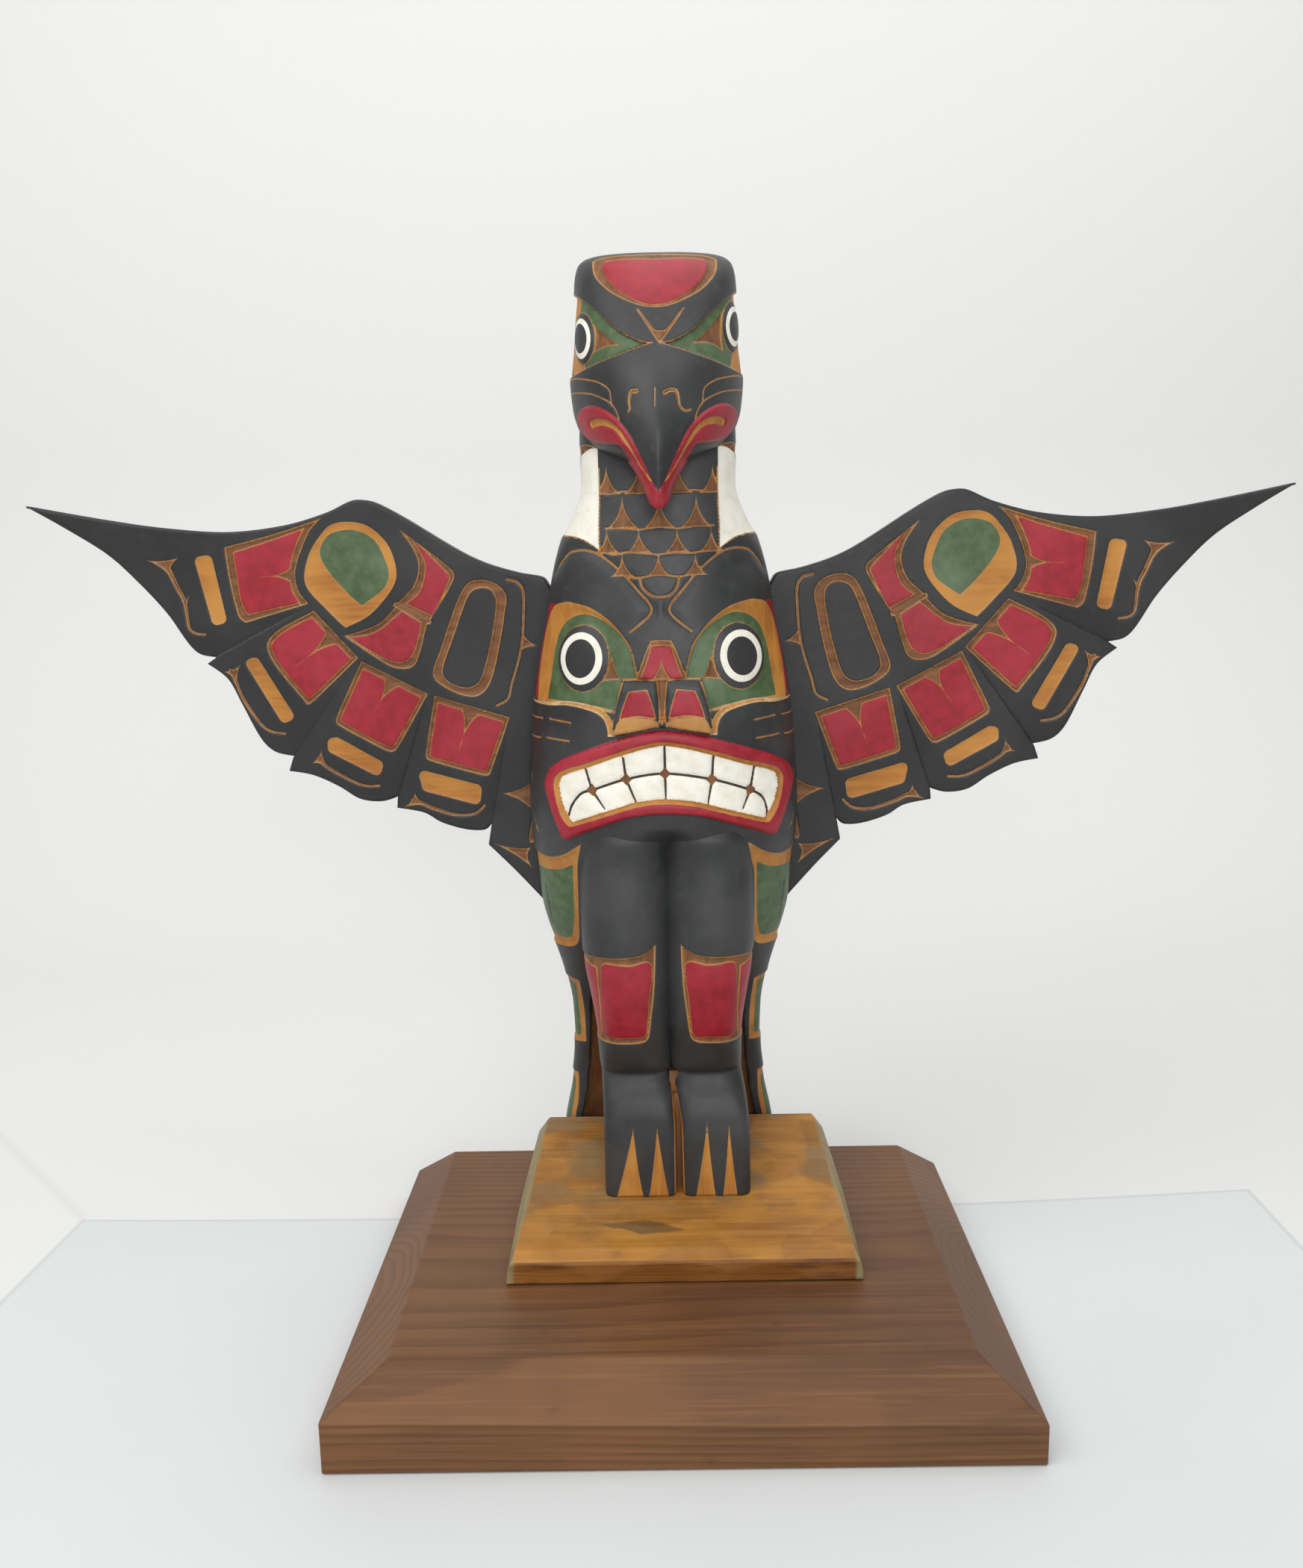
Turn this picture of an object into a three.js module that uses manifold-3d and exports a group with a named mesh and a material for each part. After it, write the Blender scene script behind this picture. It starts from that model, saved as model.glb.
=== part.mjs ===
// Carved and painted thunderbird totem figure with two spread wings, wedge plinth and bevelled board.
// Millimetres, +Z up. The figure looks to -Y. x = 0 is the middle plane of the figure and of the wingspan,
// z = 0 is the underside of the board, y = 0 is the middle of the board's depth.
import * as THREE from 'three';
import Module from 'manifold-3d';

const wasm = await Module();
wasm.setup();
const { Manifold, Mesh: SolidMesh } = wasm;

// ---- fits ----
const GAP = 0.3;                 // clearance between touching pieces

// ---- base board ----
const BASE_W = 317.5, BASE_D = 250, BASE_T = 38;
const BASE_SHIFT_X = 4;          // the board sits a little to the right of the figure's middle plane
const BEVEL_SIDE = 26, BEVEL_FRONT = 26, BEVEL_BACK = 18;
const EDGE_FL = 25, EDGE_FR = 19.5, EDGE_BACK = 17;   // height of the square edge left below the bevel

// Heights in all tables below count from a level this far under the board's top.
const DATUM = 38;
const LIFT = BASE_T - DATUM;

// ---- plinth block ----
const PLINTH_SHIFT_X = 6.5;
const PLINTH_HALF_W = 88.5;      // half width at the foot
const PLINTH_SIDE_DROP = 8;      // height of the side chamfer
// y, top height, half width of the chamfer's lower edge, half width of the top face; the tail
// goes down to the board behind the last row
const PLINTH = [
  [-40, 49.0, 88.0, 86.5], [-34, 54.0, 87.6, 84.0], [-18, 57.2, 87.0, 83.0], [0, 60.6, 86.4, 82.0],
  [14, 64.3, 85.4, 80.8], [30, 69.2, 83.6, 78.8], [46, 74.6, 81.6, 76.2], [62.5, 80.0, 79.5, 73.5],
];

// ---- carved figure: sections by height ----
// z, half width, y of the widest line, front y, back y, front roundness, back roundness
const TRUNK = [
  [38, 62, 81, 64.5, 93, 3.0, 2.6], [56, 61.3, 80.5, 64.5, 92.5, 3.0, 2.6],
  [72.5, 59.8, 79, 64, 91.5, 3.0, 2.6], [98.8, 54.8, 74, 60, 90, 3.0, 2.6],
  [125.5, 52, 67, 52, 88.5, 3.0, 2.5], [148, 52.2, 59.5, 43.5, 87, 2.8, 2.5],
  [170, 54.8, 52, 31, 86.5, 2.6, 2.4],
  [185, 58.4, 49, 20, 85.5, 2.4, 2.4], [200, 63.1, 46, 9, 86.5, 2.3, 2.3], [215, 66, 43, 1, 87.5, 2.3, 2.3],
  [239, 67.3, 40, -8, 88, 2.3, 2.3], [252, 68.2, 39, -15, 88, 2.3, 2.3], [269, 68.7, 38, -18, 88.5, 2.3, 2.3],
  [292, 67.3, 37, -18, 88, 2.3, 2.3], [319, 65.1, 36, -17, 86.5, 2.3, 2.3],
  [339, 61.7, 35, -15.5, 84.5, 2.3, 2.3], [360, 57, 33, -13, 82, 2.3, 2.3], [379, 54, 32, -10, 79, 2.3, 2.3],
  [398, 48.8, 30, -6.5, 75.5, 2.5, 2.3], [412, 42, 28, -4, 72, 2.7, 2.3], [424, 38.2, 27, -3, 69.5, 2.8, 2.4],
  [435, 38, 26, -2.5, 68, 2.8, 2.4], [470, 37, 26, -2, 66, 2.8, 2.4],
];
const HEAD = [
  [409.5, 1.6, -33, -36.5, -30, 2.0, 2.0], [414, 3.6, -31.5, -39, -27.5, 1.8, 2.0],
  [421, 7.2, -28, -41.3, -23, 1.7, 2.0], [428, 11, -24, -42, -17, 1.65, 2.0],
  [434, 15.5, -17, -42.3, -9, 1.6, 2.0], [438, 21, -8, -42, 2, 1.6, 2.2], [441, 28, 3, -41.8, 18, 1.6, 2.4],
  [446, 34, 14, -41, 38, 1.6, 2.5], [452, 38, 20, -39.5, 54, 1.65, 2.6], [460, 40.3, 23, -36.5, 62, 1.7, 2.6],
  [474, 41.4, 24, -30, 67, 1.9, 2.6], [487, 40.9, 25, -22.5, 69, 2.05, 2.6], [500, 40, 27, -14.5, 69.5, 2.2, 2.6],
  [512, 38.8, 29, -6.5, 69, 2.4, 2.6], [520, 38.3, 31, 0, 68, 2.5, 2.6], [526, 37, 33, 7, 66, 2.5, 2.6],
  [529.5, 34, 35, 14, 62, 2.5, 2.6], [531.2, 29, 37, 21, 56, 2.5, 2.6],
];
// z, inner x, outer x, front y, back y of one leg, and how far the pair stands to the right
const LEG = [
  [52, -0.5, 38, 3, 36, 4.2], [92, -0.5, 38, 3, 36, 4.2], [103, -0.5, 37.8, 4, 36, 3.9],
  [112, -0.5, 37.4, 6.5, 36, 3.2], [121, -0.5, 36.9, 11, 36, 2.2], [125.5, -0.5, 36.7, 12.5, 36, 1.8],
  [130, -0.5, 36.8, 7, 36, 1.5], [140, -0.5, 37.1, 0, 36, 1.2], [150, -1, 37.6, -5, 36, 1.1],
  [160, -1, 38.5, -9, 36, 1], [174, -1.5, 40.5, -12.5, 36, 1], [190, -2, 42.9, -15.5, 36, 1],
  [205, -2, 43.6, -16, 36, 1], [225, -2, 43.9, -14.5, 36, 1], [243, -2, 43.8, -11, 36, 1],
  [258, -2, 43, -6, 36, 1],
];
const LEG_ROUND = 2.8;
const TRUNK_ROWS = [
  38, 56, 74, 91, 108, 125, 141, 156, 170, 180, 190, 200, 210, 222, 234, 244, 252, 262, 274, 288,
  302, 316, 330, 344, 358, 372, 386, 398, 407, 416, 425, 436, 450, 470];
const HEAD_ROWS = [
  409.5, 413, 418, 424, 430, 435, 438.5, 441, 444, 448, 453, 460, 468, 477, 486, 495, 504, 512, 519, 525,
  528.5, 530.4, 531.2];
const LEG_ROWS = [52, 84, 96, 106, 115, 121.5, 125.5, 130, 137, 146, 158, 172, 188, 205, 225, 243, 258];

const WEB_HALF = 24, WEB_Y = [30, 80], WEB_Z = [38, 178];     // wood left between the legs and the tail
// hollow cut in from each side behind the legs: z, outer x, back y; and the y it starts from
const HOLLOW = [
  [30, 53, 77], [56, 52, 77], [74.8, 49.7, 75.5], [94.4, 45.8, 71], [112.7, 43.5, 65], [136, 42, 58],
  [154.4, 41.2, 52], [167, 38, 45], [173, 24.5, 40],
];
const HOLLOW_FRONT = 36.3;

// relief heights and depths
const LIP_H = 3.4, TEETH_H = 1.4, NOSE_TOP_H = 2.4, NOSE_H = 4.6, SOCKET_D = 2.6, EYEBALL_H = 1.8;
const HEAD_SOCKET_D = 1.8, BEAK_LIP_H = 1.3;
// cleft between the feet, outline in x and z, and the y of its bottom
const CLEFT = [[1.4, 124], [4.4, 113], [6.4, 100], [7, 50], [3.4, 50], [3.4, 100], [2.6, 113]];
const CLEFT_Y = 10;

// right half outlines on the face, x and z
const LIP = [[0, 310.5], [10.8, 309], [24.4, 305.5], [40, 300], [52.2, 294.5], [57.4, 289], [59.2, 281.5],
  [56.7, 271], [53.3, 261], [50.6, 254.9], [37.6, 261], [22, 267], [13.6, 268.9], [0, 270]];
const TEETH = [[0, 303.4], [10.8, 301.5], [24.4, 297.3], [36, 293], [47.8, 288.7], [51.7, 285], [51.9, 279],
  [49.5, 270], [46.1, 264.7], [35.2, 268.9], [21.3, 273.7], [13, 276], [0, 277.3]];
const NOSE_BRIDGE = [[0, 350.5], [5.2, 349.5], [9.6, 334.5], [0, 333]];
const NOSTRIL = [[1.2, 334.2], [18.3, 334], [21.8, 321], [24.2, 307.5], [12.5, 309.5], [1.2, 312]];
const SOCKET = [[70, 320.7], [70, 352], [60, 362], [54, 369.4], [42.5, 370], [32.5, 367.4], [23, 360.8],
  [16, 352.5], [12.6, 345], [10.6, 335.2], [19.4, 334.6], [22.4, 318.6], [32, 320], [44.3, 322.4]];
const SOCKET_Y = 26;             // the socket runs out on the flank here
const EYE = { x: 38.2, z: 343.9, rx: 12.7, rz: 15.4, n: 20 };
const HEAD_SOCKET = [[46, 511], [35.4, 510], [26.4, 501.4], [17.4, 492.2], [8.6, 486.6], [1.5, 485],
  [16.5, 480.4], [28, 477.2], [46, 475.4]];
const HEAD_SOCKET_Y = 24;
const BEAK_LIP = [[1, 423], [7.7, 436], [13, 447], [17.4, 454], [24, 458.6], [31.5, 459.2], [35, 456],
  [34.6, 450], [31, 444.6], [24.5, 442], [17.5, 439.6], [10.5, 432.6], [5, 421], [1, 411]];

// ---- wings ----
const WING_FRONT = 44, WING_T_ROOT = 11, WING_T_TIP = 6;
// right wing outline, x and z: leading edge from the tip to the root, tongue in the slot, feather ends
const WING = [
  [319, 420.6], [281.6, 413.4], [251.5, 408.6], [219.3, 406], [190.3, 408.6], [168.3, 414.4], [156, 419.8],
  [150.5, 420.8], [143, 419.2], [129, 411.6], [102.8, 395.2], [88.7, 388.2], [72.6, 383.2], [60, 380.6],
  [56.6, 376.6], [51.6, 368], [60, 300], [60, 222], [62.4, 209],
  [78.4, 227.1], [92.8, 242.1], [90.8, 252.6], [94.4, 249.5], [103.8, 250.1], [116.7, 254.2], [125.8, 259.6],
  [139.7, 262.4], [139.2, 268], [147.9, 265.8], [159, 267.6], [169.8, 274.5], [182.5, 280.5],
  [195, 283], [192.4, 290.4], [202.1, 293.3], [208.9, 301], [216.9, 318.2], [223.3, 331.5],
  [233.3, 339.7], [228.8, 342.7], [236.9, 344.4], [242, 349.5], [251.6, 365.3], [264.8, 381.1],
  [279.8, 395.9], [300.2, 409.4],
];
// the part of the slot that the wing root stands in, already with its clearance
const SLOT = [[49.5, 368.1], [59.7, 299.9], [59.7, 221.9], [62.0, 207.6], [64, 206.5], [90, 228], [90, 396],
  [60, 382], [56.3, 376.9]];
// feather steps: inner end, outer end, reach towards the wing tip at the outer end, depth
const STEPS = [
  [[178.6, 368.1], [228.8, 342.7], [236, 358], 2.4], [[156.2, 340.5], [192, 290.6], [207, 299], 2.4],
  [[120.8, 322.1], [139.4, 267], [156, 270], 2.4], [[79.4, 309.2], [90.7, 251.5], [107, 252.5], 2.4],
];
// sunk red forms and bars on the wing, corner by corner
const FORM_D = 0.9;
const WING_FORMS = [
  [[217.5, 396.5], [184, 406.6], [187.5, 388], [186, 377.5], [212.5, 366.5]],
  [[201.6, 349.3], [179.6, 364], [158, 341.6], [181.5, 319.4]],
  [[152.6, 338.4], [124, 322.6], [140.5, 295], [165.5, 309]],
  [[116, 319], [82, 309], [92.6, 280.6], [121.2, 289.6]],
  [[127, 401.5], [106.6, 382.6], [118.4, 361.4], [131, 368], [124.2, 386]],
  [[132.6, 365.6], [121.4, 358], [130.4, 337.4], [158.6, 351.6], [144, 357.8]],
];

// ---------- helpers ----------
// monotone cubic through the rows of a table, keyed by its first column
function curve(table) {
  const n = table.length, m = table[0].length - 1;
  const slope = [];
  for (let c = 1; c <= m; c++) {
    const d = [], s = [];
    for (let i = 0; i < n - 1; i++) d.push((table[i + 1][c] - table[i][c]) / (table[i + 1][0] - table[i][0]));
    for (let i = 0; i < n; i++) {
      if (i === 0) s.push(d[0]);
      else if (i === n - 1) s.push(d[n - 2]);
      else s.push(d[i - 1] * d[i] <= 0 ? 0 : 2 / (1 / d[i - 1] + 1 / d[i]));
    }
    slope.push(s);
  }
  return (z) => {
    let i = 0;
    while (i < n - 2 && z > table[i + 1][0]) i++;
    const h = table[i + 1][0] - table[i][0], t = Math.min(1, Math.max(0, (z - table[i][0]) / h));
    const out = [];
    for (let c = 1; c <= m; c++) {
      const a = table[i][c], b = table[i + 1][c], s = slope[c - 1];
      out.push(a * (1 + 2 * t) * (1 - t) ** 2 + s[i] * h * t * (1 - t) ** 2
        + b * t * t * (3 - 2 * t) + s[i + 1] * h * t * t * (t - 1));
    }
    return out;
  };
}

// closed section: superellipse with its own front and back depth, more columns in front
function section(w, yc, yF, yB, nF, nB, z, nFront, nBack, cx = 0) {
  const ring = [];
  const point = (t) => {
    const c = Math.cos(t), s = Math.sin(t), n = s > 0 ? nB : nF, depth = s > 0 ? yB - yc : yc - yF;
    const x = w * Math.sign(c) * Math.abs(c) ** (2 / n), y = depth * Math.sign(s) * Math.abs(s) ** (2 / n);
    ring.push([cx + x, yc + y, z]);
  };
  for (let i = 0; i < nBack; i++) point((Math.PI * i) / nBack);
  for (let i = 0; i < nFront; i++) point(Math.PI + (Math.PI * i) / nFront);
  return ring;
}

// solid between rings of equal count, counterclockwise seen from the far end
function loft(rings) {
  const n = rings[0].length, pos = rings.flat(2), tri = [];
  for (let r = 0; r < rings.length - 1; r++) {
    for (let i = 0; i < n; i++) {
      const a = r * n + i, b = r * n + ((i + 1) % n), c = a + n, d = b + n;
      tri.push(a, b, d, a, d, c);
    }
  }
  for (const [r, flip] of [[0, true], [rings.length - 1, false]]) {
    const mid = [0, 1, 2].map((k) => rings[r].reduce((s, p) => s + p[k], 0) / n);
    const id = pos.length / 3;
    pos.push(...mid);
    for (let i = 0; i < n; i++) {
      const a = r * n + i, b = r * n + ((i + 1) % n);
      if (flip) tri.push(id, b, a); else tri.push(id, a, b);
    }
  }
  return solid(pos, tri);
}

function solid(pos, tri) {
  return new Manifold(new SolidMesh({
    numProp: 3, vertProperties: new Float32Array(pos), triVerts: new Uint32Array(tri),
  }));
}

// prism of an x-z outline between two y values; either may be a function of x
function prism(outline, yNear, yFar) {
  const near = typeof yNear === 'function' ? yNear : () => yNear;
  const far = typeof yFar === 'function' ? yFar : () => yFar;
  let pts = outline.map(([x, z]) => new THREE.Vector2(x, z));
  if (THREE.ShapeUtils.isClockWise(pts)) pts = pts.reverse();
  const faces = THREE.ShapeUtils.triangulateShape(pts, []);
  const n = pts.length, pos = [], tri = [];
  for (const p of pts) pos.push(p.x, near(p.x), p.y);
  for (const p of pts) pos.push(p.x, far(p.x), p.y);
  for (const [a, b, c] of faces) { tri.push(a, b, c); tri.push(n + a, n + c, n + b); }
  for (let i = 0; i < n; i++) {
    const j = (i + 1) % n;
    tri.push(i, n + j, j, i, n + i, n + j);
  }
  return solid(pos, tri);
}

const box = (x0, x1, y0, y1, z0, z1) => prism([[x0, z0], [x1, z0], [x1, z1], [x0, z1]], y0, y1);
const flip = (outline) => outline.map(([x, z]) => [-x, z]);
const both = (outline) => outline.concat(outline.slice(1, -1).reverse().map(([x, z]) => [-x, z]));
const oval = ({ x, z, rx, rz, n }) => Array.from({ length: n }, (_, i) => {
  const t = (2 * Math.PI * i) / n;
  return [x + rx * Math.cos(t), z + rz * Math.sin(t)];
});

// outline with its corners cut round by arcs of a few points
function rounded(corners, r, k = 2) {
  const out = [], n = corners.length;
  for (let i = 0; i < n; i++) {
    const p = corners[i], a = corners[(i + n - 1) % n], b = corners[(i + 1) % n];
    const la = Math.hypot(a[0] - p[0], a[1] - p[1]), lb = Math.hypot(b[0] - p[0], b[1] - p[1]);
    const ra = Math.min(r, la / 2.5), rb = Math.min(r, lb / 2.5);
    const s = [p[0] + ((a[0] - p[0]) * ra) / la, p[1] + ((a[1] - p[1]) * ra) / la];
    const e = [p[0] + ((b[0] - p[0]) * rb) / lb, p[1] + ((b[1] - p[1]) * rb) / lb];
    for (let j = 0; j <= k; j++) {
      const t = j / k, u = 1 - t;
      out.push([0, 1].map((c) => s[c] * u * u + 2 * p[c] * u * t + e[c] * t * t));
    }
  }
  return out;
}

// ---------- carved figure ----------
const trunkAt = curve(TRUNK), headAt = curve(HEAD), legAt = curve(LEG);

const trunk = (grow = 0) => loft(TRUNK_ROWS.map((z) => {
  const [w, yc, yF, yB, nF, nB] = trunkAt(z);
  return section(w + grow, yc, yF - grow, yB + grow, nF, nB, z, 24, 10);
}));
const head = (grow = 0) => loft(HEAD_ROWS.map((z) => {
  const [w, yc, yF, yB, nF, nB] = headAt(z);
  return section(Math.max(0.4, w + grow), yc, yF - grow, yB + grow, nF, nB, z, 20, 10);
}));
const leg = (side) => loft(LEG_ROWS.map((z) => {
  const [xi, xo, yF, yB, shift] = legAt(z);
  const mid = (yF + yB) / 2, cx = (side * (xi + xo)) / 2 + shift;
  return section((xo - xi) / 2, mid, yF, yB, LEG_ROUND, LEG_ROUND, z, 12, 4, cx);
}));

const FAR = -90, SEAT_MARGIN = 20;
const raise = (form, outline, full, back = 20) => form.add(prism(outline, FAR, back).intersect(full));
const sink = (form, outline, low, back = 20) => form.subtract(prism(outline, FAR, back).subtract(low));

function carveFigure() {
  const face0 = trunk(), lips = trunk(LIP_H), teeth = trunk(TEETH_H), sockets = trunk(-SOCKET_D);
  let body = face0;
  for (const m of [(o) => o, flip]) {
    body = sink(body, m(SOCKET), sockets, SOCKET_Y);
    body = raise(body, oval({ ...EYE, x: m([[EYE.x, 0]])[0][0] }), trunk(EYEBALL_H - SOCKET_D));
  }
  body = raise(body, both(NOSE_BRIDGE), trunk(NOSE_TOP_H));
  for (const m of [(o) => o, flip]) body = raise(body, m(NOSTRIL), trunk(NOSE_H));
  body = raise(body, both(LIP), lips, 24);
  body = body.subtract(prism(both(TEETH), FAR, 20).subtract(teeth));

  const skull = head(), skullIn = head(-HEAD_SOCKET_D), skullOut = head(BEAK_LIP_H);
  let top = skull;
  for (const m of [(o) => o, flip]) {
    top = sink(top, m(HEAD_SOCKET), skullIn, HEAD_SOCKET_Y);
    top = raise(top, m(BEAK_LIP), skullOut, 12);
  }

  let fig = body.add(top).add(leg(1)).add(leg(-1))
    .add(box(-WEB_HALF, WEB_HALF, WEB_Y[0], WEB_Y[1], WEB_Z[0], WEB_Z[1]));
  // cleft between the feet, hollows behind the legs, wing slots
  fig = fig.subtract(prism(CLEFT, FAR, CLEFT_Y));
  for (const m of [(o) => o, flip]) {
    fig = fig.subtract(loft(HOLLOW.map(([z, rim, back]) => {
      const [xa, xb] = m([[WEB_HALF, 0], [rim, 0]]).map((p) => p[0]).sort((p, q) => p - q);
      return [[xa, HOLLOW_FRONT, z], [xb, HOLLOW_FRONT, z], [xb, back, z], [xa, back, z]];
    })));
    fig = fig.subtract(prism(m(SLOT), WING_FRONT - GAP, (x) => wingBack(Math.abs(x)) + GAP));
  }
  // the feet stand on the slope of the plinth, and the tail behind it on the board
  const last = PLINTH[PLINTH.length - 1], low = TRUNK[0][0] - SEAT_MARGIN, edge = last[0] + GAP;
  const slope = [[PLINTH[0][0] - SEAT_MARGIN, PLINTH[0][1]], ...PLINTH, [edge, last[1]],
    [edge + 0.01, DATUM], [edge + BASE_D / 2, DATUM]];
  return fig.subtract(loft(slope.map(([y, top]) => {
    const z = top + GAP + 0.02;
    return [[-PLINTH_HALF_W, y, low], [-PLINTH_HALF_W, y, z], [PLINTH_HALF_W, y, z], [PLINTH_HALF_W, y, low]];
  })));
}

// ---------- wings ----------
function wingBack(x) {
  return WING_FRONT + WING_T_ROOT + ((WING_T_TIP - WING_T_ROOT) * (x - 50)) / (319 - 50);
}

function carveWing(side) {
  const m = side > 0 ? (o) => o : flip;
  const back = (x) => wingBack(Math.abs(x));
  let wing = prism(m(WING), WING_FRONT, back);
  const y0 = WING_FRONT - 2;
  for (const [a, b, c, d] of STEPS) {
    const out = (p, q, s) => [q[0] + (q[0] - p[0]) * s, q[1] + (q[1] - p[1]) * s];
    const b2 = out(a, b, 0.25), c2 = out(a, c, 0.25);
    const tri = m([a, b2, c2]);
    const low = tri.map(([x, z], i) => [x, WING_FRONT + (i === 1 ? d * 1.25 : 0.02), z]);
    const pos = [...tri.map(([x, z]) => [x, y0, z]), ...low];
    wing = wing.subtract(Manifold.hull(pos));
  }
  for (const form of WING_FORMS) wing = wing.subtract(prism(m(rounded(form, 3)), y0, WING_FRONT + FORM_D));
  return wing;
}

// ---------- plinth and board ----------
function plinth() {
  const z0 = DATUM + GAP, x0 = PLINTH_SHIFT_X;
  return loft(PLINTH.map(([y, zt, hs, ht]) => {
    const drop = Math.min(PLINTH_SIDE_DROP, zt - z0 - 5);
    return [[-PLINTH_HALF_W, z0], [-hs, zt - drop], [-ht, zt], [ht, zt], [hs, zt - drop], [PLINTH_HALF_W, z0]]
      .map(([x, z]) => [x + x0, y, z]);
  }));
}

function board() {
  const x0 = BASE_SHIFT_X - BASE_W / 2, x1 = x0 + BASE_W, y0 = -BASE_D / 2, y1 = BASE_D / 2;
  const foot = [[x0, y0, 0], [x1, y0, 0], [x1, y1, 0], [x0, y1, 0]];
  const edge = [[x0, y0, EDGE_FL], [x1, y0, EDGE_FR], [x1, y1, EDGE_BACK], [x0, y1, EDGE_BACK]];
  const top = [[x0 + BEVEL_SIDE, y0 + BEVEL_FRONT, BASE_T], [x1 - BEVEL_SIDE, y0 + BEVEL_FRONT, BASE_T],
    [x1 - BEVEL_SIDE, y1 - BEVEL_BACK, BASE_T], [x0 + BEVEL_SIDE, y1 - BEVEL_BACK, BASE_T]];
  return loft([foot, edge, top]);
}

// ---------- nodes ----------
function node(name, form, colour, roughness, z = LIFT) {
  const m = form.getMesh(), geometry = new THREE.BufferGeometry();
  const pos = new Float32Array(m.numVert * 3);
  for (let i = 0; i < m.numVert; i++) {
    for (let k = 0; k < 3; k++) pos[3 * i + k] = m.vertProperties[m.numProp * i + k];
  }
  geometry.setAttribute('position', new THREE.BufferAttribute(pos, 3));
  geometry.setIndex(new THREE.BufferAttribute(new Uint32Array(m.triVerts), 1));
  geometry.computeVertexNormals();
  const material = new THREE.MeshStandardMaterial({ color: colour, roughness, metalness: 0 });
  material.name = name;
  const mesh = new THREE.Mesh(geometry, material);
  mesh.name = name;
  mesh.position.z = z;
  return mesh;
}

const group = new THREE.Group();
group.name = 'totem_pole';
group.add(node('base_board', board(), 0x734a33, 0.6, 0));
group.add(node('plinth_block', plinth(), 0xb07a2e, 0.55));
group.add(node('carved_figure', carveFigure(), 0x3b3c3e, 0.5));
group.add(node('wing_left', carveWing(-1), 0x303133, 0.5));
group.add(node('wing_right', carveWing(1), 0x303133, 0.5));

export default group;
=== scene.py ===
"""Thunderbird totem figure with spread wings on a wedge plinth and a bevelled board."""
import math
import bpy
import bmesh
import numpy as np
from mathutils import Matrix, Vector, kdtree
from mathutils.geometry import delaunay_2d_cdt


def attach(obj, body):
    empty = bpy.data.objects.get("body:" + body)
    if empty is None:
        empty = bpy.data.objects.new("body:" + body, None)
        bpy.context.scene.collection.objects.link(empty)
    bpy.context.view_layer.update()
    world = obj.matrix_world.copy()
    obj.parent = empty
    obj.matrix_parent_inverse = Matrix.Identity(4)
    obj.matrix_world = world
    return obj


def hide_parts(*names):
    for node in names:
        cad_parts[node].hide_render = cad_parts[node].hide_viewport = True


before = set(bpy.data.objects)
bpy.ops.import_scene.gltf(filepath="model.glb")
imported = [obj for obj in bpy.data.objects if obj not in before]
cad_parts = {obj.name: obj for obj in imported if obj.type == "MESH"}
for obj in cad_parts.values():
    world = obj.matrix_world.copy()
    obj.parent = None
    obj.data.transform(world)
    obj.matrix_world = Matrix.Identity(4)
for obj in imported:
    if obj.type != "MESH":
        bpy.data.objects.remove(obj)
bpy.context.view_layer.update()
MM = 0.001

# ---------------------------------------------------------------- sizes, mm
BOARD_W, BOARD_D, BOARD_T, BOARD_X = 317.5, 250.0, 38.0, 4.0
BEVEL_SIDE, BEVEL_FRONT, BEVEL_BACK = 26.0, 26.0, 18.0
EDGE_FL, EDGE_FR, EDGE_BACK = 25.0, 19.5, 17.0
PLINTH_X, PLINTH_HALF, PLINTH_DROP, PLINTH_FOOT = 6.5, 88.5, 8.0, 38.3
PLINTH = [
    [-40, 49.0, 88.0, 86.5], [-34, 54.0, 87.6, 84.0], [-18, 57.2, 87.0, 83.0], [0, 60.6, 86.4, 82.0],
    [14, 64.3, 85.4, 80.8], [30, 69.2, 83.6, 78.8], [46, 74.6, 81.6, 76.2], [62.5, 80.0, 79.5, 73.5]]
# z, half width, y of the widest line, front y, back y, front roundness, back roundness
TRUNK = [
    [38, 62, 81, 64.5, 93, 3.0, 2.6], [56, 61.3, 80.5, 64.5, 92.5, 3.0, 2.6],
    [72.5, 59.8, 79, 64, 91.5, 3.0, 2.6], [98.8, 54.8, 74, 60, 90, 3.0, 2.6],
    [125.5, 52, 67, 52, 88.5, 3.0, 2.5], [148, 52.2, 59.5, 43.5, 87, 2.8, 2.5], [170, 54.8, 52, 31, 86.5, 2.6, 2.4],
    [185, 58.4, 49, 20, 85.5, 2.4, 2.4], [200, 63.1, 46, 9, 86.5, 2.3, 2.3], [215, 66, 43, 1, 87.5, 2.3, 2.3],
    [239, 67.3, 40, -8, 88, 2.3, 2.3], [252, 68.2, 39, -15, 88, 2.3, 2.3], [269, 68.7, 38, -18, 88.5, 2.3, 2.3],
    [292, 67.3, 37, -18, 88, 2.3, 2.3], [319, 65.1, 36, -17, 86.5, 2.3, 2.3],
    [339, 61.7, 35, -15.5, 84.5, 2.3, 2.3], [360, 57, 33, -13, 82, 2.3, 2.3], [379, 54, 32, -10, 79, 2.3, 2.3],
    [398, 48.8, 30, -6.5, 75.5, 2.5, 2.3], [412, 42, 28, -4, 72, 2.7, 2.3], [424, 38.2, 27, -3, 69.5, 2.8, 2.4],
    [435, 38, 26, -2.5, 68, 2.8, 2.4], [470, 37, 26, -2, 66, 2.8, 2.4]]
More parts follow.
